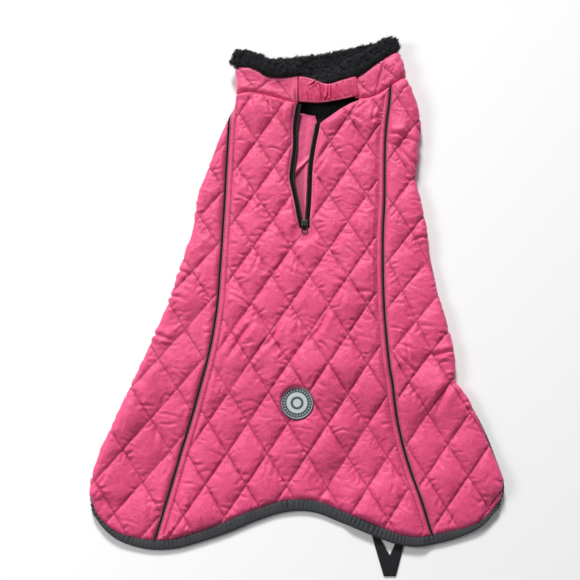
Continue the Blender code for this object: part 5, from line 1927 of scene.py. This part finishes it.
def upper_shade(x, y):
    """Painted shade on the upper guard: darker towards the zip's right tape."""
    return 0.35 * smooth_step((x - 17 - (y - 385) * 0.16) / 5)


def lower_shade(x, y):
    """Painted shadow on the lower guard: darker on its left, below the slanted fold of the upper one."""
    return 0.55 * smooth_step((364 + 1.02 * (x - 19) - y + 2) / 6) * smooth_step((17 - x) / 3)


def make_inside():
    """What shows through the open zip and the leash opening: the black lining, and the two pink guards."""
    plain_sheet(
        "neck_lining_cloth", "neck_lining", LINING_OUTLINE, LINING_FLOOR, LINING_FLOOR + LINING,
        LINING_CLOTH, 2.0, lambda flat, gap: 0.15 * waves(*flat.T, 8.0, 9) * np.minimum(1, gap / 3),
    )
    for node, outline, floor, swell, fold in (
        ("zip_guard_upper", GUARD_UPPER, GUARD_UPPER_FLOOR, upper_flap, upper_shade),
        ("zip_guard_lower", GUARD_LOWER, GUARD_LOWER_FLOOR, lower_flap, lower_shade),
    ):
        high = floor + GUARD_THICKNESS
        made = plain_sheet(f"{node}_cloth", node, outline, floor, high, PINK_PALE, 1.0, swell)
        spots = np.empty(len(made.data.vertices) * 3, np.float32)
        made.data.vertices.foreach_get("co", spots)
        # painted shade over each guard, from its function above
        shade(made, fold(*(spots.reshape(-1, 3)[:, :2] / MM + (CENTRE_ACROSS, CENTRE_ALONG)).T))


# The section of a zip tape, as (away from the edge, height).
TAPE_SECTION = (
    (GAP, TAPE_LOW),
    (TAPE, TAPE_LOW),
    (TAPE, TAPE_HIGH - 0.6),
    (TAPE - 0.4, TAPE_HIGH - 0.3),
    (1.0, TAPE_HIGH),
    (GAP, TAPE_HIGH),
)

# A tooth is a short bar across the tape: its rings of points, as (reach, radius), and the sides of each.
TOOTH_PITCH = 1.4
TOOTH_RINGS = ((-1.1, 0.25), (-0.7, 0.5), (0.7, 0.5), (1.1, 0.25))
TOOTH_SIDES = 6


def make_zip():
    """The two tapes with their teeth, and the finish of the slider and its pull."""
    mirrored = tuple((-away, height) for away, height in TAPE_SECTION[::-1])
    places = []
    for name, edge, high, section, sign in (
        ("zip_tape_left", LEFT_ZIP, TAPE_TOP_LEFT, TAPE_SECTION, 1),
        ("zip_tape_right", RIGHT_ZIP, TAPE_TOP_RIGHT, mirrored, -1),
    ):
        line = column(edge, high, TAPE_FOOT)
        flat = rings_along(line, section)
        flat[..., 0] += 0.35 * waves(flat[..., 0], flat[..., 1], 7.0, 15)
        made = loft(f"{name}_cloth", laid(flat), ZIP_CLOTH)
        declare(made, name, line, tape=(length_of(line), TAPE))
        at = np.arange(1, length_of(line) - 5, TOOTH_PITCH)
        places.append(read_at(line, travelled(line), at) + (sign * (TAPE - 0.9), 0))
    points, faces = [], []
    for across, along in np.vstack(places):
        faces += tube_faces(len(TOOTH_RINGS), TOOTH_SIDES, len(points))
        for reach, radius in TOOTH_RINGS:
            for turn in np.arange(TOOTH_SIDES) * 2 * math.pi / TOOTH_SIDES:
                height = TAPE_HIGH + 0.25 + radius * math.sin(turn)
                points.append(lay(across + reach, along + radius * math.cos(turn), height))
    dressed(outward(add_mesh("zip_coils", np.array(points), faces, ZIP_TEETH)))
    for node in ("zip_slider", "zip_pull"):
        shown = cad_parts[node]
        shown.data.materials.clear()
        shown.data.materials.append(METAL)


# The badge's section, from its lower edge round its rim and inwards, as (inside its radius, above its
# underside, finish). Finish 0 is dark and 1 is pale.
BADGE_SIDES = 96
BADGE_PROFILE = (
    (0.3, 0.0, 0),
    (0.0, 0.5, 0),
    (0.0, 1.2, 0),
    (0.5, 1.6, 0),
    (1.3, 1.6, 1),
    (1.7, 1.35, 0),
    (6.2, 1.35, 1),
    (6.5, 1.7, 1),
    (10.2, 1.7, 0),
    (10.5, 1.9, 0),
    (12.4, 1.9, 0),
    (12.7, 1.65, 1),
)

# The ring of short ticks near its rim: how many, and their ends inside the radius, to their sides, and above
# its underside. Below are the faces of a box with its corners in this order.
TICKS = 28
TICK_REACH = (4.8, 3.0)
TICK_SIDES = (-0.32, 0.32)
TICK_HEIGHTS = (1.3, 1.62)
BOX_FACES = ((0, 1, 3, 2), (4, 6, 7, 5), (0, 4, 5, 1), (2, 3, 7, 6), (1, 5, 7, 3), (0, 2, 6, 4))


def make_badge():
    """A plain badge: a dark rim with a ring of short ticks, and a pale disc with a raised dark ring in it."""
    bottom = float(lay(*BADGE_CENTRE, WALL + BADGE_SEAT + GAP)[2])

    def spot(turn, inside, height, side=0.0):
        reach = BADGE_RADIUS - inside
        x = BADGE_CENTRE[0] + reach * math.cos(turn) - side * math.sin(turn)
        y = BADGE_CENTRE[1] + reach * math.sin(turn) + side * math.cos(turn)
        return x, y, bottom + height

    angles = np.arange(BADGE_SIDES) * 2 * math.pi / BADGE_SIDES
    points = [spot(turn, inside, height) for inside, height, _ in BADGE_PROFILE for turn in angles]
    faces = tube_faces(len(BADGE_PROFILE), BADGE_SIDES)
    made = add_mesh("badge_disc", points, faces, BADGE_DARK, BADGE_PALE, smooth=False)
    finishes = [finish for _, _, finish in BADGE_PROFILE[:-1] for _ in angles] + [0, BADGE_PROFILE[-1][2]]
    made.data.polygons.foreach_set("material_index", finishes)
    dressed(outward(made), "badge")
    points = [
        spot(turn, inside, height, side)
        for turn in np.arange(TICKS) * 2 * math.pi / TICKS
        for inside in TICK_REACH
        for side in TICK_SIDES
        for height in TICK_HEIGHTS
    ]
    faces = [tuple(first + v for v in face) for first in range(0, 8 * TICKS, 8) for face in BOX_FACES]
    dressed(outward(add_mesh("badge_ticks", points, faces, BADGE_PALE, smooth=False)))



def make_strap():
    """The elastic: each strand a ribbed band, the two joined at the bottom."""
    plain_sheet(
        "leg_strap_elastic", "leg_strap", STRAP_OUTLINE, 0.0, STRAP_THICKNESS - 0.2, ELASTIC, 0.7,
        lambda flat, gap: 0.22 * np.clip(np.sin(gap * 2 * math.pi / 1.35), 0, 1) * (gap < 5),
    )


# ------------------------------------------------------------------ the studio

# The camera stands over the flat cut's origin, near the hem, and is tilted up the coat by this many degrees.
# Its height, and the floor's half width and depth under the coat, are in metres.
LENS = 50
SENSOR = 36
CAMERA_HEIGHT = 0.825
CAMERA_TILT = 15
FLOOR_HALF = 3
FLOOR_DROP = 0.0006


def area_light(name, place, size, power):
    """A round light that shines on the coat's middle."""
    data = bpy.data.lights.new(name, "AREA")
    data.shape = "DISK"
    data.size = size
    data.energy = power
    made = bpy.data.objects.new(name, data)
    made.location = place
    made.rotation_euler = (-Vector(place)).to_track_quat("-Z", "Y").to_euler()
    bpy.context.scene.collection.objects.link(made)


def make_studio():
    """The camera at the photograph's angle, a pale floor, and soft light."""
    scene = bpy.context.scene
    data = bpy.data.cameras.new("camera")
    data.lens = LENS
    data.sensor_width = SENSOR
    camera = bpy.data.objects.new("camera", data)
    camera.location = (-CENTRE_ACROSS * MM, -CENTRE_ALONG * MM, CAMERA_HEIGHT)
    camera.rotation_euler = (math.radians(CAMERA_TILT), 0, 0)
    scene.collection.objects.link(camera)
    scene.camera = camera
    floor = bpy.data.meshes.new("floor")
    corners = [(FLOOR_HALF * x, FLOOR_HALF * y, 0) for x, y in ((-1, -1), (1, -1), (1, 1), (-1, 1))]
    floor.from_pydata(corners, [], [(0, 1, 2, 3)])
    pale, _, _ = shader_of("pale_floor", {"Base Color": (0.92, 0.92, 0.92, 1), "Roughness": 0.9})
    floor.materials.append(pale)
    made = bpy.data.objects.new("floor", floor)
    made.location.z = -FLOOR_DROP
    scene.collection.objects.link(made)
    scene.world = bpy.data.worlds.new("studio")
    scene.world.use_nodes = True
    background = scene.world.node_tree.nodes["Background"]
    background.inputs["Color"].default_value = (0.96, 0.98, 1, 1)
    background.inputs["Strength"].default_value = 0.26
    area_light("key", (-0.6, 4.98, 3.2), 1.40, 392)
    area_light("fill", (-0.95, 0.1, 0.85), 0.5, 6.2)
    scene.view_settings.view_transform = "Standard"


make_panels()
sew_seams()
make_underside()
make_binding()
make_piping()
make_tab()
make_fleece()
make_inside()
make_zip()
make_badge()
make_strap()
make_stitches("pink", PINK_THREAD)
make_stitches("pale", PALE_THREAD, 0.85, 0.5)
make_stitches("grey", GREY_THREAD)
make_studio()
